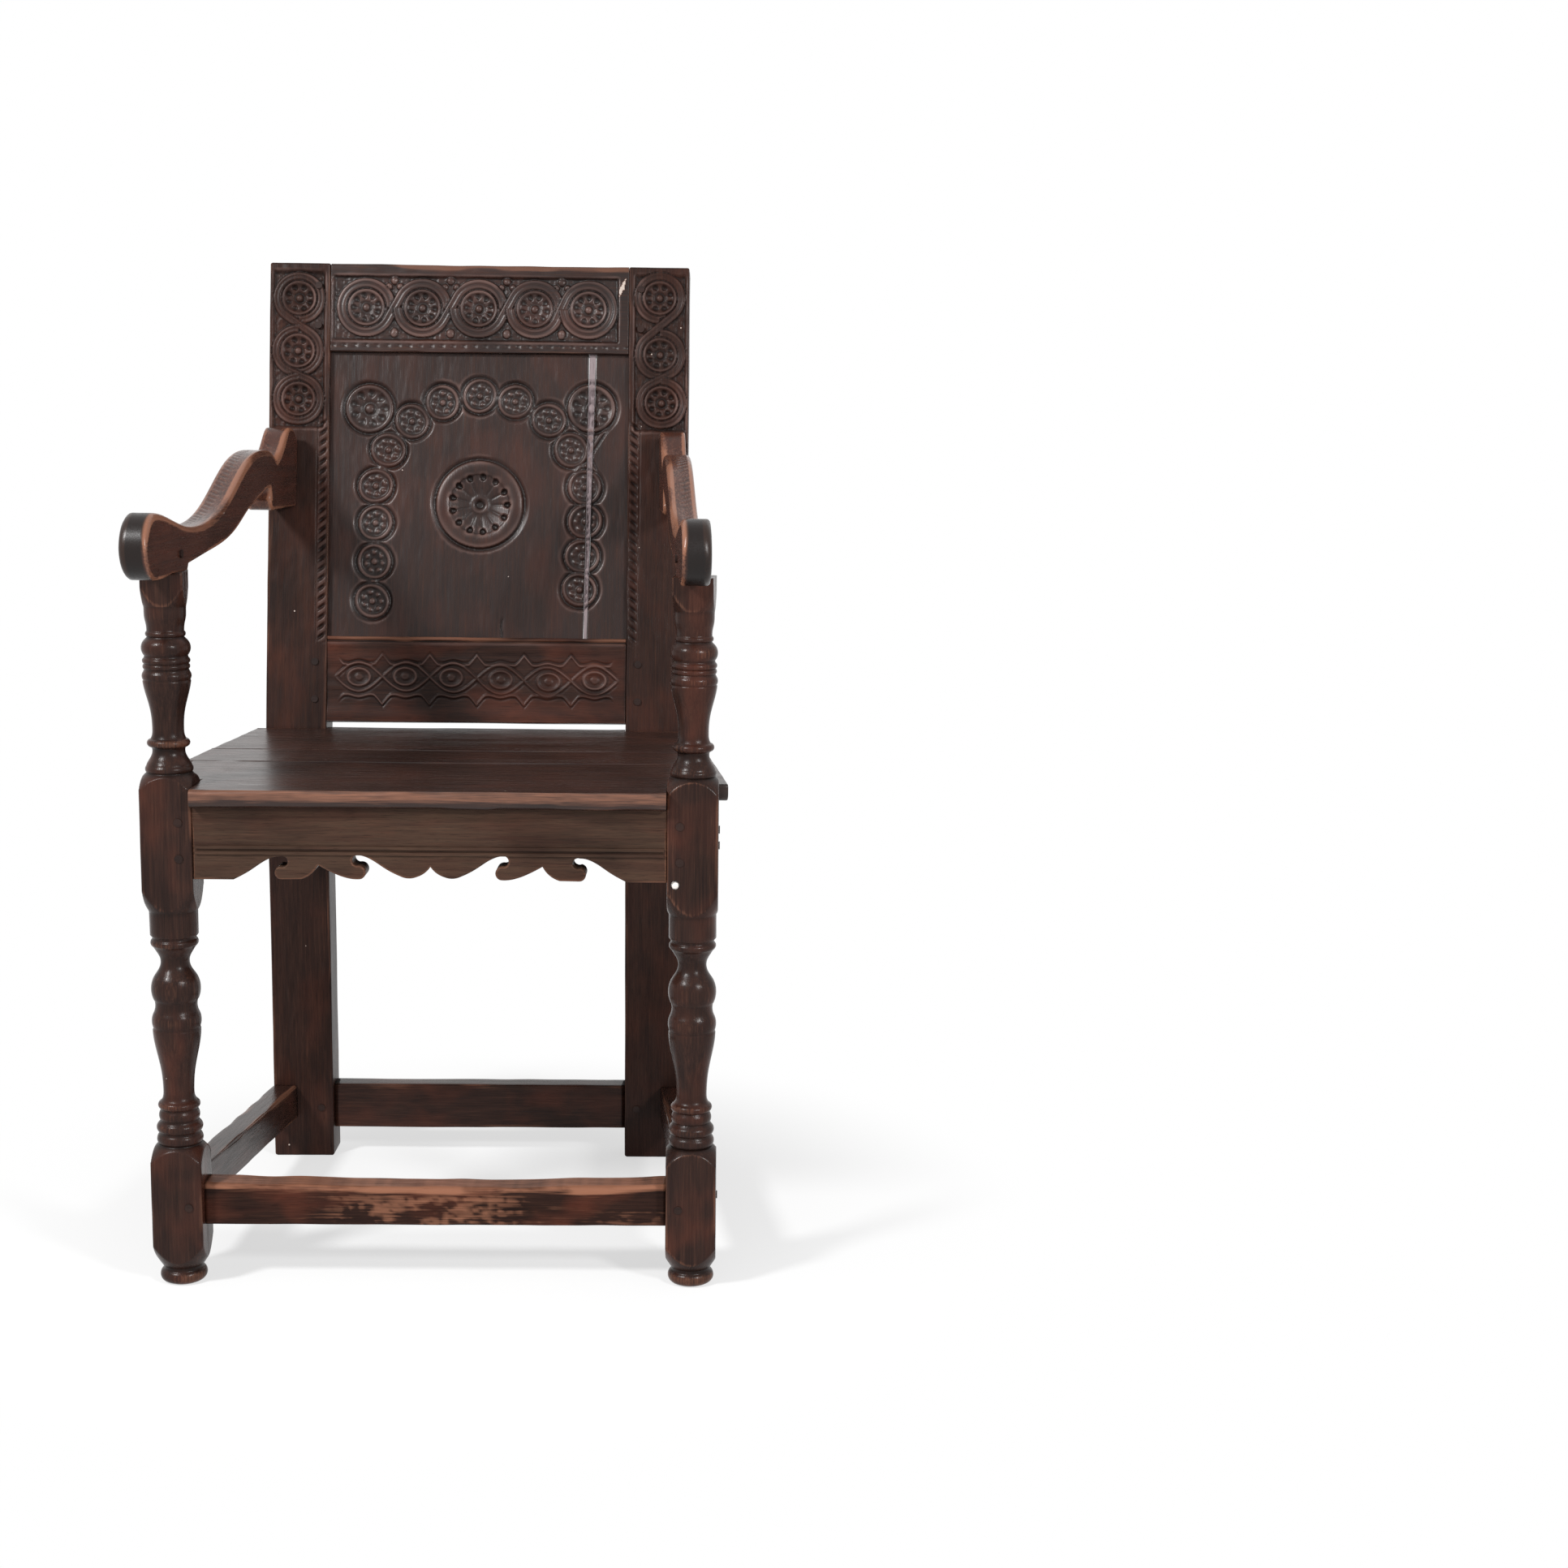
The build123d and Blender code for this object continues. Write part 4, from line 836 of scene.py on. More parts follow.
def oak(name, dark, brown, red, worn, wear_gain=1.0, dirt_and_shade_gain=1.0, gloss=0.34, attributes=True, redness=1.0,
        shine=0.2, pores=0.35):
    """Old fumed or stained oak under wax. The rays and pores run with the grain of each timber.

    Pores are 0.3 mm wide in real oak, drawn about 0.9 mm so that they show. Fibres are streaks 1.7 mm
    wide and 45 mm long, the figure is 6.5 mm wide, and patches of stain are about 70 mm long. Wear
    shows paler wood, and chips and small specks are bare. Hollows hold dark wax and painted shade, and
    high places of the carving rubbed stain and a painted highlight. shine is the shader's specular level,
    which is lower the less wax there is.
    """
    finish = bpy.context.scene.wainscot_finish
    material, tree, shader = new_material(name)
    shader.inputs["Specular IOR Level"].default_value = shine
    if attributes:
        place = new_node(tree, "ShaderNodeAttribute", {"attribute_name": "grain"}).outputs["Vector"]
        wear, rub, recess = (new_node(tree, "ShaderNodeAttribute", {"attribute_name": label}).outputs["Fac"]
                             for label in ("wear", "rub", "recess"))
    else:
        place = new_node(tree, "ShaderNodeTexCoord", {}).outputs["Object"]

    def streaks(along, across, detail=3.0):
        """Cloudy streaks of a size in millimetres along and across the grain."""
        mapping = new_node(tree, "ShaderNodeMapping",
                           {"Scale": (1000 / along, 1000 / across, 1000 / across)}, (("Vector", place),))
        texture = new_node(tree, "ShaderNodeTexNoise",
                           {"Scale": 1.0, "Detail": detail, "Roughness": 0.55, "Distortion": 0.2},
                           (("Vector", mapping.outputs[0]),))
        return texture.outputs["Fac"]

    def layer(below, mask, low, high, most, tone):
        """Lays a tone over what is below it, from none where the mask is low to most where it is high."""
        share = new_node(tree, "ShaderNodeMapRange", {"From Min": low, "From Max": high, "To Max": most},
                         (("Value", mask),))
        return new_node(tree, "ShaderNodeMix", {"data_type": "RGBA", 7: tone},
                        ((0, share.outputs[0]), (6, below))).outputs[2]

    patch = streaks(70, 40, 2.0)
    shade = streaks(120, 60, 2.0)
    figure = streaks(110, 6.5)
    fibre = streaks(45, 1.7)
    pore = streaks(16, 0.9, 1.0)
    dirt_and_shade = tuple(finish.dirt_and_shade)
    figured = new_node(tree, "ShaderNodeMapRange", {"From Min": 0.2, "From Max": 0.8}, (("Value", figure),))
    colour = new_node(tree, "ShaderNodeMix", {"data_type": "RGBA", 6: dark, 7: brown},
                      ((0, figured.outputs[0]),)).outputs[2]
    for mask, low, high, most, tone in (
            (patch, 0.46, 0.7, 0.8 * redness, red), (shade, 0.5, 0.72, 0.45, dirt_and_shade),
            (fibre, 0.4, 0.75, 0.06, worn), (pore, 0.56, 0.7, pores, dirt_and_shade)):
        colour = layer(colour, mask, low, high, most, tone)
    rough = new_node(tree, "ShaderNodeMapRange", {"From Min": 0.3, "From Max": 0.7, "To Min": gloss + 0.08,
                                                  "To Max": gloss - 0.05}, (("Value", fibre),)).outputs[0]
    if attributes:
        # raised places of the carving: rubbed stain and painted highlight
        colour = layer(colour, rub, 0.1, 0.8, 0.65, tuple(finish.oak_rubbed))
        frayed = new_node(tree, "ShaderNodeMapRange", {"From Min": 0.3, "From Max": 0.7, "To Min": -0.3,
                                                       "To Max": 0.1}, (("Value", fibre),))
        broken = new_node(tree, "ShaderNodeMath", {"operation": "MULTIPLY_ADD", 1: 0.9},
                          ((0, wear), (2, frayed.outputs[0])))
        colour = layer(colour, broken.outputs[0], 0.05, 0.75, wear_gain, worn)
        # hollows, coves, cuts and the arm's nose: dark wax, grease and painted shade
        colour = layer(colour, recess, 0.1, 0.9, 0.75 * dirt_and_shade_gain, dirt_and_shade)
        cells = new_node(tree, "ShaderNodeTexVoronoi", {"Scale": 24.0}, (("Vector", place),))
        speck = new_node(tree, "ShaderNodeMath", {"operation": "LESS_THAN", 1: 0.022},
                         ((0, cells.outputs["Distance"]),))
        chip = new_node(tree, "ShaderNodeMath", {"operation": "GREATER_THAN", 1: 1.4}, ((0, wear),))
        bare = new_node(tree, "ShaderNodeMath", {"operation": "MAXIMUM"},
                        ((0, speck.outputs[0]), (1, chip.outputs[0])))
        colour = new_node(tree, "ShaderNodeMix", {"data_type": "RGBA", 7: tuple(finish.bare_oak)},
                          ((0, bare.outputs[0]), (6, colour))).outputs[2]
        rough = new_node(tree, "ShaderNodeMath", {"operation": "MULTIPLY_ADD", 1: 0.1},
                         ((0, recess), (2, rough))).outputs[0]
    tree.links.new(colour, shader.inputs["Base Color"])
    tree.links.new(rough, shader.inputs["Roughness"])
    sunk = new_node(tree, "ShaderNodeMapRange", {"From Min": 0.5, "From Max": 0.7, "To Min": 0.5,
                                                 "To Max": 0.0}, (("Value", pore),))
    height = new_node(tree, "ShaderNodeMath", {"operation": "MULTIPLY_ADD", 1: 0.5},
                      ((0, fibre), (2, sunk.outputs[0])))
    bump = new_node(tree, "ShaderNodeBump", {"Strength": 0.1 + 0.6 * pores, "Distance": 0.0004},
                    (("Height", height.outputs[0]),))
    tree.links.new(bump.outputs[0], shader.inputs["Normal"])
    return material


# Each finish: its name, its dark, middle, red and worn colours, and what it sets in oak()
FINISHES = {
    # waxed over the carving: a soft shine that follows the relief, and almost no open grain
    "back": ("stained_oak_back", "oak_dark oak_back oak_red oak_worn",
             dict(wear_gain=0.35, gloss=0.32, redness=0.4, shine=0.28, pores=0.2)),
    # dark and nearly matt
    "stile": ("stained_oak_stile", "oak_dark oak_brown oak_red oak_worn",
              dict(wear_gain=0.35, redness=0.4, shine=0.12)),
    # redder than the stiles, with rubbed ridges
    "lower": ("stained_oak_lower_rail", "oak_dark oak_brown oak_red oak_worn",
              dict(wear_gain=0.5, gloss=0.36, shine=0.14)),
    # smooth from the lathe and from wax: narrow lights on the turnings
    "frame": ("stained_oak_frame", "oak_dark oak_brown oak_red oak_worn",
              dict(wear_gain=0.45, gloss=0.22, redness=0.7, shine=0.14, pores=0.22)),
    # kicked and trodden: dull, with pale scuffs
    "stretcher": ("kicked_oak_stretcher", "oak_dark oak_brown oak_red oak_worn",
                  dict(wear_gain=0.9, dirt_and_shade_gain=0.9, gloss=0.44, shine=0.06)),
    # little waxed: olive and flat
    "apron": ("stained_oak_apron", "oak_brown oak_olive oak_red oak_worn",
              dict(wear_gain=0.35, dirt_and_shade_gain=0.9, gloss=0.42, redness=0.3, shine=0.1)),
    # polished by hands: red where rubbed, the nose black as grease and painted shade, bright lights on the
    # curves
    "arm": ("handled_oak_arm", "oak_brown oak_red oak_red oak_worn",
            dict(wear_gain=0.9, dirt_and_shade_gain=1.25, gloss=0.22, shine=0.32, pores=0.08)),
    # polished by sitters: the room shows as a pale sheen along the boards
    "seat": ("waxed_oak_seat", "oak_dark seat_brown oak_red oak_worn",
             dict(wear_gain=0.7, dirt_and_shade_gain=0.9, gloss=0.28, redness=0.3, shine=0.4, pores=0.25)),
    # never stained: grey and dry
    "fillet": ("bare_oak_fillet", "fillet_grey fillet_grey fillet_grey fillet_grey",
               dict(wear_gain=0.5, dirt_and_shade_gain=0.4, gloss=0.5, redness=0.6)),
    # chalky, a plain light spot
    "filler": ("old_white_filler", "fillet_grey filler_white filler_white oak_brown",
               dict(gloss=0.5, attributes=False)),
    # end grain, which drinks the stain: dark dots
    "peg": ("oak_peg_end", "oak_dark peg_brown oak_brown oak_brown", dict(gloss=0.4, attributes=False)),
}
materials = {}


def finish_material(key):
    """The material of one finish, made on first use."""
    if key in materials:
        return materials[key]
    name, colours, settings = FINISHES[key]
    finish = bpy.context.scene.wainscot_finish
    colours = [tuple(getattr(finish, colour)) for colour in colours.split()]
    materials[key] = oak(name, *colours, **settings)
    return materials[key]


# ---- Operators ----

class Piece:
    """What the operators of the pieces share"""
    bl_options = {"REGISTER", "UNDO"}


class WAINSCOT_OT_crest_rail(Piece, bpy.types.Operator):
    """Carved crest rail of the back"""
    bl_idname = "wainscot.crest_rail"
    bl_label = "Crest Rail"

    def execute(self, context):
        def worn(v, x):
            """The top edge is rubbed from the left third to the right end."""
            return 0.25 + 3.2 * smooth_step(slope_top - 12, slope_top - 2, v) * smooth_step(-115, -75, x)

        end = tenon(tenon_length, crest_bottom + 14, slope_top - 10, back_rail_thickness / 2)
        timber("crest_rail", finish_material("back"), np.arange(-stile_inner_x, stile_inner_x + 0.1, 0.9),
               (crest_bottom, slope_top, 0, back_rail_thickness), on_back_rail, relief=crest_relief,
               chips=crest_chips, radii=(1.6, 3.2, 1.5, 1.0), ring=(112, 4, 16, 3), ends=(end, end),
               seed=2, worn=worn)
        return {"FINISHED"}


class WAINSCOT_OT_lower_back_rail(Piece, bpy.types.Operator):
    """Carved rail between the seat and the panel"""
    bl_idname = "wainscot.lower_back_rail"
    bl_label = "Lower Back Rail"

    def execute(self, context):
        def worn(v, x):
            """The top edge is rubbed, most of all in its left half."""
            top = smooth_step(lower_rail_top - 12, lower_rail_top - 2, v)
            return 0.25 + top * (0.5 + 0.6 * smooth_step(60, -60, x))

        end = tenon(tenon_length, lower_rail_bottom + 10, lower_rail_top - 14, back_rail_thickness / 2)
        timber("lower_back_rail", finish_material("lower"),
               np.arange(-stile_inner_x, stile_inner_x + 0.1, 1.0),
               (lower_rail_bottom, lower_rail_top, 0, back_rail_thickness), on_back_rail,
               relief=lower_relief, radii=(1.2, 3.0, 1.0, 1.0), ring=(100, 4, 16, 4), ends=(end, end),
               seed=3, worn=worn)
        return {"FINISHED"}


class WAINSCOT_OT_stiles(Piece, bpy.types.Operator):
    """Both back posts, carved at the top"""
    bl_idname = "wainscot.stiles"
    bl_label = "Back Posts"

    def execute(self, context):
        rows = np.concatenate([np.arange(-seat_top, -24, 9), np.arange(-24, 24, 4), np.arange(24, 92, 7),
                               np.arange(92, slope_top - 2, 1.0), [slope_top]])
        for name, side in SIDES.items():
            edges = sorted((side * stile_inner_x, side * stile_outer_x))
            timber("rear_post_" + name, finish_material("stile"), rows, (*edges, 0, stile_thickness),
                   on_stile, relief=stile_relief(side), radii=(1.6, 1.6, 1.6, 1.6), ring=(72, 8, 12, 4),
                   ends=(("round", 3), ("round", 2.5)), seed=5 + side, worn=0.4)
        return {"FINISHED"}


class WAINSCOT_OT_panel(Piece, bpy.types.Operator):
    """Carved panel of two boards and the fillet between them"""
    bl_idname = "wainscot.panel"
    bl_label = "Panel"

    def execute(self, context):
        low, high = lower_rail_top - groove_depth, crest_bottom + groove_depth
        rows = np.concatenate([[low], np.arange(low + 9, high - 9, 1.08), [high]])
        # the fillet leans to the right and widens on its way up
        share = (rows - lower_rail_top) / (crest_bottom - lower_rail_top)
        split_left = 122 + 4 * share
        split_right = 126 + 8 * share

        def thinned(left, right):
            """Share of the full thickness: the back is feathered towards the grooves."""
            def thickness(x, v):
                reach = np.minimum(v - low, high - v)
                reach = np.minimum(reach, x + left if left else 999)
                reach = np.minimum(reach, right - x if right else 999)
                thin = 1 - panel_edge_thickness / panel_thickness
                return 1 - thin * np.clip(1 - reach / panel_feather, 0, 1)
            return thickness

        def place(x, v, d):
            return on_back(x, v, d + panel_setback)

        edge = panel_edge_x
        boards = (("wide_board", -edge, split_left, (282, 3, 60, 2), (edge, 0), "back", 7),
                  ("fillet", split_left, split_right, (8, 3, 4, 2), (0, 0), "fillet", 8),
                  ("narrow_board", split_right, edge, (50, 3, 12, 2), (0, edge), "back", 9))
        for name, left, right, ring, feather, key, seed in boards:
            timber("back_panel_" + name, finish_material(key), rows, (left, right, 0, panel_thickness), place,
                   relief=panel_relief, thickness=thinned(*feather), radii=(0.3, 0.3, 0.3, 0.3), ring=ring,
                   seed=seed, worn=0.0)
        return {"FINISHED"}


def apron_half():
    """Lower edge of the front rail from the middle to the post, as points of (x, height above its ends)."""
    return joined(
        arc_through((0, 14), (5.5, 8), (13, 4), 10),
        arc_through((13, 4), (21, 2.3), (30, 4.5), 12),
        spline_through(((30, 4.5), (46, 13), (59, 21.5), (69, 25)), 26, ((1, 0.4), (1, 0.15))),
        arc_through((69, 25), (76.8, 20), (72, 14.5), 16),
        arc_through((72, 14.5), (63.6, 7.5), (69, 1.2), 18),
        spline_through(((69, 1.2), (82, 2.3), (97, 8), (110, 15)), 24, ((1, -0.1), (1, 0.6))),
        arc_through((110, 15), (116.5, 6.5), (127, 0.8), 16),
        np.linspace((127, 0.8), (146, 0.5), 10),
        arc_through((146, 0.5), (152.6, 7), (147.5, 13.5), 16),
        arc_through((147.5, 13.5), (139.6, 18.5), (147, 23.5), 16),
        spline_through(((147, 23.5), (158, 21), (176, 9.5), (193, 0)), 26, ((1, 0.05), (1, -0.5))),
        np.linspace((193, 0), (post_inner_x, 0), 12))


class WAINSCOT_OT_front_seat_rail(Piece, bpy.types.Operator):
    """Front rail with its shaped apron"""
    bl_idname = "wainscot.front_seat_rail"
    bl_label = "Front Seat Rail"

    def execute(self, context):
        bottom, top = apron_bottom, seat_underside
        half = apron_half()
        right = np.column_stack([half[:, 0], half[:, 1] + bottom])
        left = np.column_stack([-half[::-1, 0], half[::-1, 1] + bottom])
        upper = np.linspace((post_inner_x, top), (-post_inner_x, top), 60)
        outline = joined(left, right, np.linspace((post_inner_x, bottom), (post_inner_x, top), 10), upper,
                         np.linspace((-post_inner_x, top), (-post_inner_x, bottom), 10)[:-1])
        radius = np.where(outline[:, 1] > top - 20, 0.5, 1.3)
        face_y = post_face_y + 3
        middle_y = face_y + rail_thickness / 2

        def place(x, z, t):
            return np.stack([x, middle_y + t, z], axis=-1)

        tenons = []
        for side in SIDES.values():
            near, far = side * (post_inner_x - 4), side * (post_inner_x + front_tenon_length)
            y0, y1 = middle_y - tenon_thickness / 2, middle_y + tenon_thickness / 2
            tenons.append([(x, y, z) for z in (bottom + 10, top - 10)
                           for x, y in ((near, y0), (far, y0), (far, y1), (near, y1))])
        piece = plate("front_seat_rail", finish_material("apron"), outline, rail_thickness / 2, place, radius,
                      radius * 0.7, layers=3, tenons=tenons, flat=(1.0, 0.4), seed=11, worn=0.7)
        for z, deep in ((452.2, 1.0), (446.6, 0.7)):
            # long scratch: a wedge of that depth, open to the front
            end = post_inner_x - 2.5
            rows = np.linspace(-end, end, 2)
            section = np.array([(-2.0, -1.5), (deep, -0.25), (deep, 0.25), (-2.0, 1.5)])
            points = np.array([[(x, face_y + d, z + h) for d, h in section] for x in rows]).reshape(-1, 3)
            cut_away(piece, points, tube_faces(2, 4), finish_material("apron"), (0, 2, 1), GRAIN_SHIFT * 11)
        return {"FINISHED"}


class WAINSCOT_OT_cross_rails(Piece, bpy.types.Operator):
    """Rails and stretchers that run straight across the chair"""
    bl_idname = "wainscot.cross_rails"
    bl_label = "Cross Rails and Stretchers"

    def execute(self, context):
        long_x = np.linspace(-post_inner_x, post_inner_x, 150)
        short_x = np.linspace(-stile_inner_x, stile_inner_x, 60)
        bottom, top, trodden = 62, 106, 205         # trodden: how far from the middle feet have worn the top
        hollow = np.clip(1 - (long_x / trodden) ** 2, 0, 1)
        dip = 3.6 * hollow + 1.8 * noise(long_x, 0, 0, (45, 1, 1), 41)
        worn_top = top - dip * plateau(-post_inner_x, -trodden, trodden, post_inner_x, long_x)

        def scuffed(z, x, d):
            """Stain trodden off the top of the front stretcher, and kicked off its face in patches."""
            ragged = 0.55 * noise(x, z, 0, (26, 9, 1), 45) + 0.45 * noise(x, z, 0, (5, 3, 1), 47)
            middle = plateau(-150, -60, 40, 150, x)
            end = 0.6 * smooth_step(100, 190, x) * (1 - smooth_step(72, 84, z))
            face = 0.3 * np.maximum(middle, end) * smooth_step(0.3, 0.75, ragged)
            face = face * (1 - smooth_step(90, 98, z))
            upper = smooth_step(98, 102, z + 3.2 * np.clip(1 - (x / trodden) ** 2, 0, 1))
            return np.maximum(face * (d < 14), (0.18 + 0.3 * ragged) * upper)

        def worn(z, x):
            """The arrises of the top are worn far more than those of the underside."""
            return 0.2 + 1.2 * smooth_step(90, 98, z)

        end = tenon(front_tenon_length, bottom + 10, top - 10, 9.5)
        timber("front_stretcher", finish_material("stretcher"), long_x, (bottom, worn_top, 0, 34),
               across_chair(post_face_y + 13), radii=(1.6, 4.2, 3.6, 1.5), ring=(24, 12, 12, 5),
               chips=scuffed, ends=(end, end), seed=12, worn=worn)
        end = tenon(tenon_length, 43, 76, rail_thickness / 2)
        timber("rear_stretcher", finish_material("frame"), short_x, (33, 86, 0, rail_thickness),
               across_chair(stile_face_y + 8), radii=(1.5, 2.0, 1.5, 1.5), ends=(end, end), seed=13,
               worn=0.5)
        end = tenon(tenon_length, 434.5, seat_underside - 10, rail_thickness / 2)
        timber("rear_seat_rail", finish_material("frame"), short_x,
               (424.5, seat_underside, 0, rail_thickness), across_chair(stile_face_y + 4), ends=(end, end),
               seed=14, worn=0.6)
        return {"FINISHED"}


class WAINSCOT_OT_side_rails(Piece, bpy.types.Operator):
    """Side seat rails and side stretchers"""
    bl_idname = "wainscot.side_rails"
    bl_label = "Side Rails and Stretchers"

    def execute(self, context):
        rows = np.linspace(post_back_y, stile_face_y, 70)
        kinds = (("side_seat_rail_", rail_thickness, 68, 458.5, 458.5, (1.2, 1.0, 0.8, 1.2), 15),
                 ("side_stretcher_", 28, 40, 87, 67, (1.4, 3.0, 2.6, 1.2), 17))
        for name, side in SIDES.items():
            for kind, thick, height, front_middle, rear_middle, radii, seed in kinds:
                def place(z, y, d):
                    share = (y - post_back_y) / (stile_face_y - post_back_y)
                    middle = post_axis_x + (stile_outer_x - thick / 2 - post_axis_x) * share
                    return np.stack([side * (middle + thick / 2 - d), y + 0 * d,
                                     z + front_middle + (rear_middle - front_middle) * share], axis=-1)

                low, high = -height / 2, height / 2
                ends = [tenon(length, low + 10, high - 10, thick / 2) for length in (20, tenon_length)]
                timber(kind + name, finish_material("frame"), rows, (low, high, 0, thick), place,
                       radii=radii, ring=(12, 8, 10, 4), ends=ends, seed=seed + side, worn=0.9)
        return {"FINISHED"}


def seat_end(y):
    """x of the sloping ends of the seat boards at y."""
    return seat_front_half - seat_taper * (y - post_face_y) / frame_depth


def notched(left, right, notch_x, counts, outer, inner):
    """Rows of a board and one of its long edges, at outer beyond notch_x on both sides and inner between."""
    stretches = zip((left, -notch_x, notch_x), (-notch_x, notch_x, right), counts)
    rows = np.concatenate([np.linspace(start, end, count) for start, end, count in stretches])
    return rows, np.repeat((outer, inner, outer), counts)


class WAINSCOT_OT_seat(Piece, bpy.types.Operator):
    """Three boards of the seat"""
    bl_idname = "wainscot.seat"
    bl_label = "Seat Boards"

    def execute(self, context):
        front_edge = post_face_y - 12
        joint_1, joint_2 = front_edge + 191, front_edge + 277
        clearance = 0.3
        notch_y, notch_x = post_back_y + clearance, post_inner_x - clearance
        stile_y, tongue_x = stile_face_y - clearance, stile_inner_x - clearance
        tongue_y = stile_face_y + 14
        fixed_x = 235                               # beyond it the rows are shifted to a sloping end
        boards = (("seat_board_front", front_edge, joint_1, 269.5, (5, 0.9, 0.5, 8), 21),
                  ("seat_board_middle", joint_1, joint_2, 0, (0.9, 0.9, 0.5, 0.5), 22),
                  ("seat_board_rear", joint_2, tongue_y, 0, (0.9, 1.2, 0.5, 0.5), 23))
        for name, y_low, y_high, square_end, radii, seed in boards:
            widest = seat_end(notch_y if square_end else y_low)
            left = -(square_end or widest)
            rows, low, high = np.linspace(left, widest, 150), y_low, y_high
            if square_end:
                rows, low = notched(left, widest, notch_x, (9, 170, 12), notch_y, y_low)
            elif y_high == tongue_y:
                rows, high = notched(left, widest, tongue_x, (20, 120, 20), stile_y, tongue_y)

            def place(y, x, d):
                """The ends are sawn to the slope of the side rails, but for a square end on the left."""
                end = seat_end(np.clip(y, notch_y, stile_y))
                x = x + np.clip((x - fixed_x) / (widest - fixed_x), 0, 1) * (end - widest)
                if not square_end:
                    x = x - np.clip((-x - fixed_x) / (-left - fixed_x), 0, 1) * (end + left)
                return np.stack([x, y + 0 * x, seat_top - d], axis=-1)

            def relief(y, x):
                """Shallow hollows of use in the middle of the seat, and the ripple of the plane."""
                dish = 0.7 * np.exp(-(x / 150) ** 2 - ((y + 60) / 120) ** 2)
                return dish + 0.35 * noise(x, y, 0, (90, 14, 1), 43)

            def nosing(y, x, d):
                """The upper part of the nosing is rubbed, and not the joints between the boards."""
                rubbed = (1 - smooth_step(front_edge + 2, front_edge + 8, y)) * (1 - smooth_step(7, 15, d))
                return rubbed * (0.18 + 0.14 * noise(x, y, d, (60, 4, 4), 46)
                                 + 0.12 * noise(x, y, d, (9, 3, 3), 48))

            timber(name, finish_material("seat"), rows, (low, high, 0, seat_thickness), place, radii=radii,
                   ring=(46 if square_end else 34, 12, 12, 8), relief=relief, chips=nosing,
                   ends=(("round", 1.5), ("round", 1.5)), seed=seed, worn=0.12,
                   level=((-notch_x, notch_x) if square_end else (-tongue_x, tongue_x)))
        return {"FINISHED"}


def arm_outline():
    """Side view of an arm: x backwards from the axis of the front post, y the height."""
    scroll = 31.5
    scroll_x, scroll_z = scroll - 104, arm_seat - 3.5 + scroll
    angle = np.linspace(-pi / 2, -3 * pi / 2, 70)
    nose = np.column_stack([scroll_x + scroll * np.cos(angle), scroll_z + scroll * np.sin(angle)])
    top = joined(
        nose,
        spline_through(((scroll_x, scroll_z + scroll), (-25, 773), (30, 762.5), (80, 761), (140, 771),
                        (200, 796), (250, 818), (300, 828.5), (330, 829)), 240, ((1, 0), (1, -0.05))),
        arc_through((330, 829), (352, 826), (367, 818), 22),
        spline_through(((367, 818), (395, 833), (424, 852)), 34, ((1, 0.35), (1, 0.25))),
        arc_through((424, 852), (444, 848.5), (459, 834), 24))
    under = joined(
        arc_through((352, 763), (341, 766), (337.5, 774), 14),
        arc_through((337.5, 774), (339.5, 781), (338, 788), 10),
        spline_through(((338, 788), (300, 782), (250, 769), (200, 751), (150, 739.5), (90, 732.5), (30, 726)),
                       180, ((-1, 0.1), (-1, -0.1))),
        arc_through((30, 726), (24.5, 724), (21.5, arm_seat), 6),
        np.linspace((21.5, arm_seat), (-21.5, arm_seat), 20),
        spline_through(((-21.5, arm_seat), (-45, 717.2), (scroll_x, scroll_z - scroll)), 28,
                       ((-1, -0.15), (-1, 0))))
    back = np.linspace((470, 826), (470, 772), 4)
    low = np.linspace((446, 763), (352, 763), 9)
    outline = joined(top, back, low, under[:-1])
    face = (stile_face_y + (outline[:, 1] - seat_top) * tan(rake) - post_axis_y) / cos(arm_splay) + 1.2
    outline[:, 0] = np.minimum(outline[:, 0], face)
    keep = np.hypot(*np.diff(outline, axis=0, append=outline[:1]).T) > 0.02
    return outline[keep][::-1]


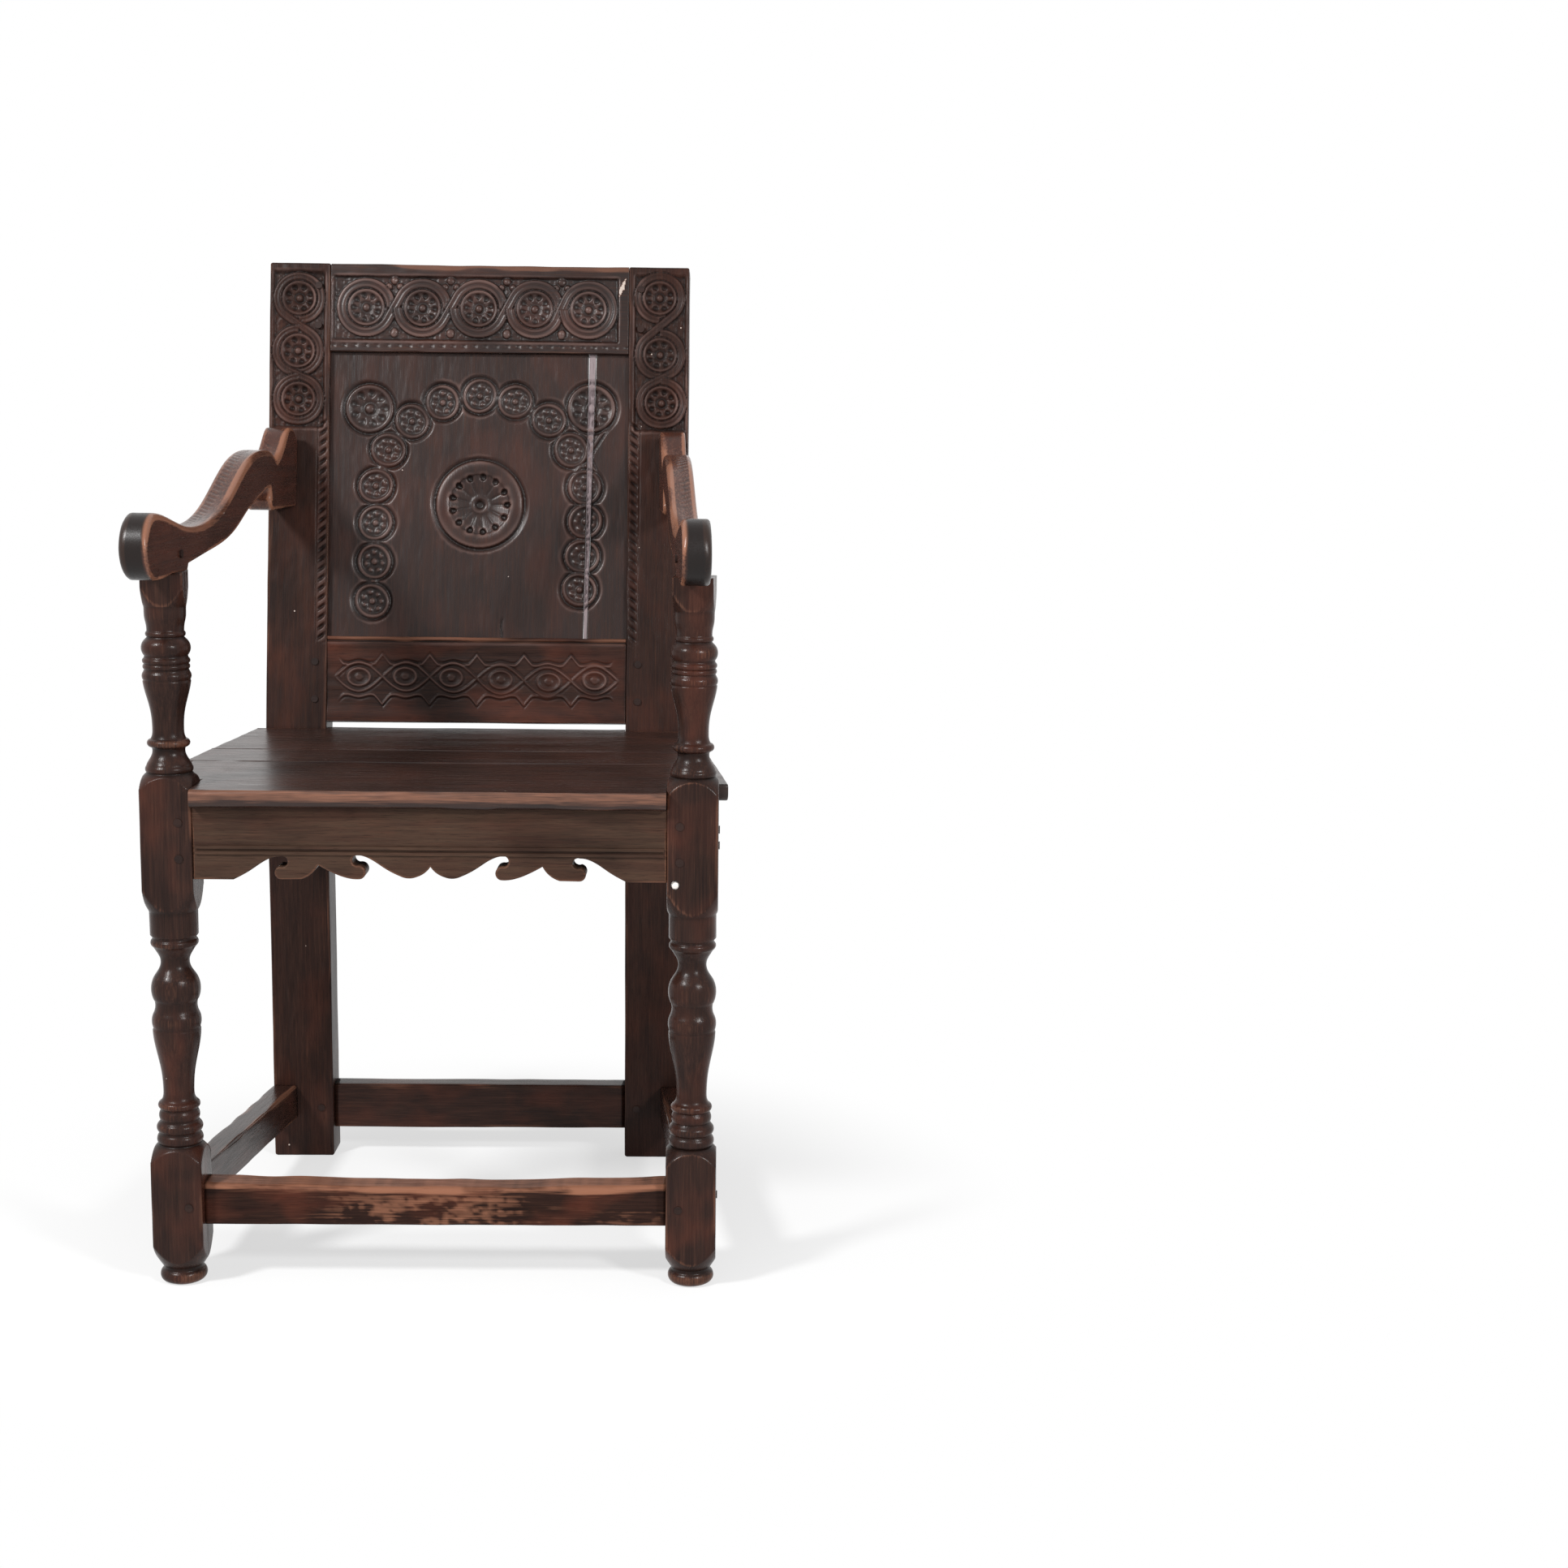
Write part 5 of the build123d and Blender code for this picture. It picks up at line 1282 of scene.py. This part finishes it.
class WAINSCOT_OT_arms(Piece, bpy.types.Operator):
    """Both scrolled arms"""
    bl_idname = "wainscot.arms"
    bl_label = "Arms"

    def execute(self, context):
        outline = arm_outline()
        ahead = np.roll(outline, -1, axis=0) - np.roll(outline, 1, axis=0)
        facing_up = np.clip(-ahead[:, 0] / np.maximum(np.hypot(*ahead.T), 1e-6), -1, 1)
        seated = (np.abs(outline[:, 0]) < 24) & (outline[:, 1] < 727)
        upper = smooth_step(-0.2, 0.6, facing_up) * (1 - smooth_step(400, 430, outline[:, 0]))
        inner = np.where(seated, 0.4, 2.0 + 3.4 * upper)
        outer = np.where(seated, 0.4, 2.0 + 1.6 * upper + 4.0 * smooth_step(-62, -85, outline[:, 0]))
        on_top = upper * (outline[:, 0] > -60) * (outline[:, 0] < 400)
        for name, side in SIDES.items():
            origin = np.array([side * arm_front_x, post_axis_y, 0.0])
            along = np.array([-side * sin(arm_splay), cos(arm_splay), 0.0])
            across = np.array([side * cos(arm_splay), sin(arm_splay), 0.0])

            def place(x, z, t):
                points = origin + x[..., None] * along + t[..., None] * across
                points[..., 2] = z
                return points

            def relief(length, t):
                """Short slanting nicks along the top of the arm."""
                return 0.9 * nick_row(length + 0.8 * t, t - 4, 9.5, 6.5) * on_top

            def handled(x, t):
                """The slope is rubbed on top; the nose is painted black to its inner edge: grease and painted
                shade.
                """
                slope = plateau(40, 110, 380, 420, x)
                return 0.22 * slope, 0.95 * (1 - smooth_step(-66, -50, x)) * smooth_step(-12, -8, t)

            ends = []
            half = tenon_thickness / 2
            for z in (arm_joint - 15, arm_joint + 15):
                v = (z - seat_top) / cos(rake)
                for dx, d in ((-half, -6.0), (half, -6.0), (half, tenon_length), (-half, tenon_length)):
                    ends.append(on_back(side * arm_rear_x + dx, v, d))
            plate("arm_" + name, finish_material("arm"), outline, arm_half, place, inner, outer, layers=10,
                  relief=relief, tenons=[ends], handled=handled, seed=25 + side, worn=1.25)
        return {"FINISHED"}


def turned_profile():
    """Outline of a front post from the floor up, as (radius, height) points."""
    def bead(inner, bottom, outer, top):
        """Half-round ring that stands out from one radius to another."""
        return arc_through((inner, bottom), (outer, (bottom + top) / 2), (inner, top), 12)

    def line(first, last, count=3):
        """Straight stretch, as on a cone, a cylinder or a shoulder."""
        return np.linspace(first, last, count)

    square, head, pin = 36.5, 29.5, 7.5         # the first two reach just past the corners of the squares
    return joined(
        line((4, 0), (16.5, 0), 4), arc_through((18, 0.8), (23.5, 7), (20.2, 14), 14),
        line((20.2, 14), (20.2, 17)),
        arc_through((20.2, 17), (27.5, 28.5), (square, 46), 34), line((square, 46), (square, 126), 16),
        arc_through((square, 126), (30.5, 135.5), (23.2, 144), 28),
        bead(21.2, 145, 23, 155), bead(20.6, 157, 23, 167),
        bead(19, 169.5, 20.3, 179), bead(18.2, 181, 20.9, 189),
        spline_through(((18.2, 189), (15.4, 201), (16.9, 221), (21.4, 244), (23.8, 263)), 44,
                       ((-1, 1), (0, 1))),
        bead(23, 264.5, 24.4, 279), arc_through((23, 279), (20.8, 286), (21.4, 293), 10),
        arc_through((22.2, 294), (24.3, 303), (22.6, 314), 14),
        spline_through(((22.6, 314), (15.2, 327), (14.7, 336), (18.9, 344), (22, 348.5)), 30,
                       ((-0.35, 1), (1, 1))),
        bead(22, 348.5, 23.7, 355.5), line((21.8, 357.5), (23.9, 360)), line((23.9, 360), (23.9, 384), 8),
        arc_through((23.9, 384), (29.5, 395), (square, 412), 30), line((square, 412), (square, 503), 18),
        arc_through((square, 503), (31, 513.5), (23.2, 522), 28), bead(22.2, 523, 23.4, 529.5),
        spline_through(((22.2, 529.5), (18.9, 536), (15.9, 544.5), (17.2, 548)), 18, ((-0.2, 1), (1, 0.6))),
        bead(17.2, 548, 20.9, 556), line((17.2, 556), (16, 559)),
        spline_through(((16, 559), (15.3, 566), (16.4, 582), (19.6, 596), (23.3, 613)), 40,
                       ((-0.3, 1), (0.1, 1))),
        bead(22.6, 614, 23.9, 622), bead(21.4, 624.5, 22.8, 630), bead(21.4, 630, 23.1, 636),
        line((21.4, 636), (21, 638)), bead(21, 638, 23.8, 653), line((21, 653), (18, 656)),
        bead(18, 656.5, 19.4, 662),
        spline_through(((18, 662), (18.4, 668), (20, 676), (20.4, head_bottom)), 18, ((0, 1), (0.1, 1))),
        arc_through((20.4, head_bottom), (24.4, 695), (head, 708), 20),
        line((head, 708), (head, arm_seat), 5),
        line((pin, arm_seat), (pin, arm_seat + 34)), line((pin, arm_seat + 34), (2, arm_seat + 34), 2))


def rounded_square(fold, half, corner):
    """Distance from the axis of a square with rounded corners to its edge.

    fold is the angle from the middle of the nearest side. It meets the flat side, or nearer the
    corner the small circle of the corner's radius.
    """
    inner = half - corner
    toward = inner * (np.cos(fold) + np.sin(fold))
    circle = toward + np.sqrt(np.maximum(toward ** 2 - 2 * inner ** 2 + corner ** 2, 0))
    return np.where(half * np.tan(fold) > inner, circle, half / np.cos(fold))


def soft_minimum(first, second, blend):
    """The smaller of two lengths, with a soft change where they are within blend of each other."""
    share = np.clip(0.5 + 0.5 * (first - second) / blend, 0, 1)
    return first * (1 - share) + second * share - blend * share * (1 - share)


class WAINSCOT_OT_front_posts(Piece, bpy.types.Operator):
    """Both front posts, turned between square blocks"""
    bl_idname = "wainscot.front_posts"
    bl_label = "Front Posts"

    def execute(self, context):
        profile = turned_profile()
        quarter = np.concatenate([np.linspace(0, 0.5, 9)[:-1], np.linspace(0.5, pi / 2 - 0.5, 11)[:-1],
                                  np.linspace(pi / 2 - 0.5, pi / 2, 9)[:-1]])
        angle = np.concatenate([quarter + k * pi / 2 for k in range(4)])
        radius, height = profile[:, 0], profile[:, 1]
        gap = np.gradient(np.concatenate([[0], np.cumsum(np.hypot(*np.diff(profile, axis=0).T))]))
        # beads stand out of the mean radius of the 7 mm above and below them, and coves lie within it
        weight = swell(height[:, None] - height[None, :], 7) * gap
        mean = (weight @ radius) / weight.sum(axis=1)
        proud = np.clip((radius - mean) / 2.2, 0, 1)
        hollow = np.clip((mean - radius) / 2.4, 0, 1)
        for name, side in SIDES.items():
            seed = 31 + side
            z = np.repeat(height[:, None], len(angle), axis=1)
            theta = np.repeat(angle[None, :], len(height), axis=0)
            head = z > head_bottom
            half = np.where(head, head_half, post_half)
            local = theta + np.where(head, side * arm_splay, 0)
            worn_radius = 1.6 + 2.0 * noise(z, np.round(local / (pi / 2)) * 50, 0, (26, 1, 1), seed)
            worn_radius = worn_radius * (1 - 0.4 * head)
            fold = np.abs((local + pi / 4) % (pi / 2) - pi / 4)
            square = rounded_square(fold, half, worn_radius)
            lathe = radius[:, None] + 0 * z
            r = soft_minimum(square, lathe, 0.7)
            r = r - 0.35 * noise(z, theta * 22, 0, (30, 12, 1), seed + 3) * (radius[:, None] > 8)
            x = side * post_axis_x + r * np.cos(theta)
            y = post_axis_y + r * np.sin(theta)
            points = np.stack([x, y, z], axis=-1).reshape(-1, 3)
            block = smooth_step(0.0, 1.5, lathe - square)
            arris = np.exp(-np.maximum(half - half * np.tan(fold), 0) / 2.4) * block
            crease = swell(lathe - square, 1.1) * 0.5
            patches = smooth_step(0.3, 0.75, noise(z, theta * 22, 0, (40, 30, 1), seed + 6))
            wear = np.maximum(np.maximum(0.7 * arris, crease), 0.5 * proud[:, None] * (1 - block))
            wear = wear * (0.2 + 0.8 * patches)
            # coves of the turnings take the dirt colour: dark wax and painted shade
            recess = hollow[:, None] * (1 - block)
            shift = 0.31 * seed
            grain = np.stack([z, x, y], axis=-1).reshape(-1, 3) * 0.001 + shift
            attributes = {"grain": grain, "wear": wear.ravel(), "recess": recess.ravel()}
            piece = put_mesh("front_post_" + name, "front_post_" + name,
                             [(points, tube_faces(*z.shape))], attributes, finish_material("frame"))
            if side > 0:
                points, faces = bore_stray_hole(piece, shift)
                put_mesh("stray_hole_filler", None, [(points, faces)], {"wear": np.zeros(len(points))},
                         finish_material("filler"))
        return {"FINISHED"}


def cut_away(piece, points, faces, material, axes, shift):
    """Cuts a closed shape of points in millimetres out of a piece, applies the cut and creases its rim.

    The cut makes points without a grain, so the grain is laid again: the world axes in the order
    along, across and through the timber, plus the timber's shift.
    """
    mesh = bpy.data.meshes.new("cutter")
    mesh.from_pydata((points * 0.001).tolist(), [], [f for block in faces for f in block.tolist()])
    mesh.materials.append(material)
    # the faces of the cut are fully darkened: dark dirt and painted shade inside the scratches and the bore
    deep = mesh.attributes.new("recess", "FLOAT", "POINT")
    deep.data.foreach_set("value", np.ones(len(points), np.float32))
    cutter = bpy.data.objects.new("cutter", mesh)
    bpy.context.scene.collection.objects.link(cutter)
    cut = piece.modifiers.new("cut", "BOOLEAN")
    cut.operation = "DIFFERENCE"
    cut.solver = "EXACT"
    cut.object = cutter
    bpy.context.view_layer.update()
    evaluated = piece.evaluated_get(bpy.context.evaluated_depsgraph_get())
    made = bpy.data.meshes.new_from_object(evaluated)
    made.set_sharp_from_angle(angle=1.0)
    place = np.empty(3 * len(made.vertices), np.float32)
    made.vertices.foreach_get("co", place)
    grain = place.reshape(-1, 3)[:, list(axes)] + np.array(shift, np.float32)
    made.attributes["grain"].data.foreach_set("vector", grain.astype(np.float32).ravel())
    piece.modifiers.clear()
    piece.data = made
    bpy.data.objects.remove(cutter)


def bore_stray_hole(piece, shift):
    """Bores the slanting hole through the right front post, and gives the shape of its filler."""
    start = np.array([post_inner_x + 8.5, post_face_y, stray_hole_height])
    direction = np.array([0, 1, -0.2])
    direction = direction / np.linalg.norm(direction)
    side = np.array([1.0, 0, 0])
    up = np.cross(direction, side)
    angle = np.linspace(0, 2 * pi, 29)[:-1]
    circle = stray_hole_radius * (np.cos(angle)[:, None] * side + np.sin(angle)[:, None] * up)
    rows = np.array([-12.0, 64.0])
    points = (start + rows[:, None, None] * direction + circle[None]).reshape(-1, 3)
    cut_away(piece, points, tube_faces(2, len(angle)), finish_material("frame"), (2, 0, 1), shift)
    # filler: a low dome 1 mm under the face, of rings that shrink to the middle
    angle = np.linspace(0, pi / 2, 6)[:-1]
    spread = np.append(np.cos(angle), 1.0)
    rows = np.append(1.0 + 2.0 * (1 - np.sin(angle)), 9.0)
    order = np.argsort(rows)
    circle = (circle * (filler_radius / stray_hole_radius))[None] * spread[order][:, None, None]
    points = (start + rows[order][:, None, None] * direction + circle).reshape(-1, 3)
    return points, tube_faces(len(rows), len(circle[0]))


class WAINSCOT_OT_pegs(Piece, bpy.types.Operator):
    """Finish of the pegs"""
    bl_idname = "wainscot.pegs"
    bl_label = "Peg Finish"

    def execute(self, context):
        for name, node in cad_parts.items():
            if name.endswith("_pegs"):
                node.data.materials.clear()
                node.data.materials.append(finish_material("peg"))
        return {"FINISHED"}


class WAINSCOT_OT_stage(Piece, bpy.types.Operator):
    """Floor, backdrop, lights and camera"""
    bl_idname = "wainscot.stage"
    bl_label = "Stage"

    def execute(self, context):
        make_floor(context.scene)
        make_lights(context.scene)
        make_camera(context.scene)
        context.scene.view_settings.view_transform = "Standard"
        return {"FINISHED"}


def seen_directly(tree):
    """1 for what the camera sees straight, by reflection or through glass, and 0 for other light."""
    path = new_node(tree, "ShaderNodeLightPath", {})
    seen = new_node(tree, "ShaderNodeMath", {"operation": "MAXIMUM"},
                    ((0, path.outputs["Is Camera Ray"]), (1, path.outputs["Is Glossy Ray"])))
    seen = new_node(tree, "ShaderNodeMath", {"operation": "MAXIMUM"},
                    ((0, seen.outputs[0]), (1, path.outputs["Is Transmission Ray"])))
    return seen.outputs[0]


def make_floor(scene):
    """Pale floor that keeps the shadow near the chair and fades to plain white away from it."""
    mesh = bpy.data.meshes.new("floor")
    size = 12.0
    mesh.from_pydata([(-size, -size, 0), (size, -size, 0), (size, size, 0), (-size, size, 0)], [],
                     [(0, 1, 2, 3)])
    material = bpy.data.materials.new("pale_floor")
    material.use_nodes = True
    tree = material.node_tree
    tree.nodes.clear()
    paint = new_node(tree, "ShaderNodeBsdfDiffuse", {"Color": hex_colour("#f7f7f7")})
    glow = new_node(tree, "ShaderNodeEmission", {"Color": (1, 1, 1, 1), "Strength": 1.0})
    place = new_node(tree, "ShaderNodeTexCoord", {})
    reach = new_node(tree, "ShaderNodeVectorMath", {"operation": "LENGTH"}, ((0, place.outputs["Object"]),))
    far = new_node(tree, "ShaderNodeMapRange",
                   {"From Min": 0.28, "From Max": 0.66, "To Min": 0.62, "interpolation_type": "SMOOTHSTEP"},
                   (("Value", reach.outputs["Value"]),))
    amount = new_node(tree, "ShaderNodeMath", {"operation": "MULTIPLY"},
                      ((0, far.outputs[0]), (1, seen_directly(tree))))
    mix = new_node(tree, "ShaderNodeMixShader", {},
                   ((0, amount.outputs[0]), (1, paint.outputs[0]), (2, glow.outputs[0])))
    new_node(tree, "ShaderNodeOutputMaterial", {}, ((0, mix.outputs[0]),))
    mesh.materials.append(material)
    floor = bpy.data.objects.new("floor", mesh)
    scene.collection.objects.link(floor)


def make_lights(scene):
    """White room, dimmer as a light than as it is seen, and two soft lamps, the stronger on the left."""
    world = bpy.data.worlds.new("studio")
    scene.world = world
    world.use_nodes = True
    tree = world.node_tree
    tree.nodes.clear()
    strength = new_node(tree, "ShaderNodeMapRange", {"To Min": 0.36}, (("Value", seen_directly(tree)),))
    background = new_node(tree, "ShaderNodeBackground", {"Color": (1, 1, 1, 1)},
                          (("Strength", strength.outputs[0]),))
    new_node(tree, "ShaderNodeOutputWorld", {}, ((0, background.outputs[0]),))
    for name, place, target, size, power in (
            ("key_light", (-1.9, -2.0, 2.6), (0, 0, 0.6), 0.55, 110),
            ("fill_light", (1.9, -2.3, 1.7), (0, 0, 0.5), 0.45, 55)):
        lamp = bpy.data.lights.new(name, "AREA")
        lamp.shape = "DISK"
        lamp.size = size
        lamp.energy = power
        light = bpy.data.objects.new(name, lamp)
        light.location = place
        light.rotation_euler = (Vector(target) - Vector(place)).to_track_quat("-Z", "Y").to_euler()
        scene.collection.objects.link(light)


def make_camera(scene):
    """Camera at standing height in front of the chair, a little to its right, looking slightly down."""
    eye = (0.297589, -2.55115, 0.895089)
    pitch, yaw, roll = 0.160999, 0.021228, 0.0119965
    forward = np.array([sin(yaw) * cos(pitch), cos(yaw) * cos(pitch), -sin(pitch)])
    level_right = np.array([cos(yaw), -sin(yaw), 0])
    level_up = np.cross(level_right, forward)
    right = level_right * cos(roll) + level_up * sin(roll)
    up = -level_right * sin(roll) + level_up * cos(roll)
    camera = bpy.data.cameras.new("camera")
    camera.lens = 54.905
    camera.sensor_width = 36
    camera.clip_end = 60
    holder = bpy.data.objects.new("camera", camera)
    matrix = Matrix.Identity(4)
    for column, axis in enumerate((right, up, -forward)):
        for row in range(3):
            matrix[row][column] = axis[row]
    matrix.translation = eye
    holder.matrix_world = matrix
    scene.collection.objects.link(holder)
    scene.camera = holder


class WAINSCOT_PT_chair(bpy.types.Panel):
    """Pieces and finishes of the chair"""
    bl_label = "Wainscot Chair"
    bl_space_type = "VIEW_3D"
    bl_region_type = "UI"
    bl_category = "Wainscot Chair"

    def draw(self, context):
        layout = self.layout
        for settings in (context.scene.wainscot_carving, context.scene.wainscot_finish):
            column = layout.column()
            for key in settings.__annotations__:
                column.prop(settings, key)
        column = layout.column()
        for operator in PIECES:
            column.operator(operator.bl_idname)


PIECES = (WAINSCOT_OT_crest_rail, WAINSCOT_OT_lower_back_rail, WAINSCOT_OT_stiles, WAINSCOT_OT_panel,
          WAINSCOT_OT_front_seat_rail, WAINSCOT_OT_cross_rails, WAINSCOT_OT_side_rails, WAINSCOT_OT_seat,
          WAINSCOT_OT_arms, WAINSCOT_OT_front_posts, WAINSCOT_OT_pegs, WAINSCOT_OT_stage)
CLASSES = (WainscotCarving, WainscotFinish, *PIECES, WAINSCOT_PT_chair)


def register():
    """Registers the settings, the pieces and the panel, and gives the scene its settings."""
    for cls in CLASSES:
        bpy.utils.register_class(cls)
    bpy.types.Scene.wainscot_carving = bpy.props.PointerProperty(type=WainscotCarving)
    bpy.types.Scene.wainscot_finish = bpy.props.PointerProperty(type=WainscotFinish)


def unregister():
    """Takes away what register made."""
    del bpy.types.Scene.wainscot_finish
    del bpy.types.Scene.wainscot_carving
    for cls in reversed(CLASSES):
        bpy.utils.unregister_class(cls)


def main():
    """Builds the chair piece by piece, then the stage."""
    register()
    bpy.ops.wainscot.crest_rail()
    bpy.ops.wainscot.lower_back_rail()
    bpy.ops.wainscot.stiles()
    bpy.ops.wainscot.panel()
    bpy.ops.wainscot.front_seat_rail()
    bpy.ops.wainscot.cross_rails()
    bpy.ops.wainscot.side_rails()
    bpy.ops.wainscot.seat()
    bpy.ops.wainscot.arms()
    bpy.ops.wainscot.front_posts()
    bpy.ops.wainscot.pegs()
    bpy.ops.wainscot.stage()


if __name__ == "__main__":
    main()
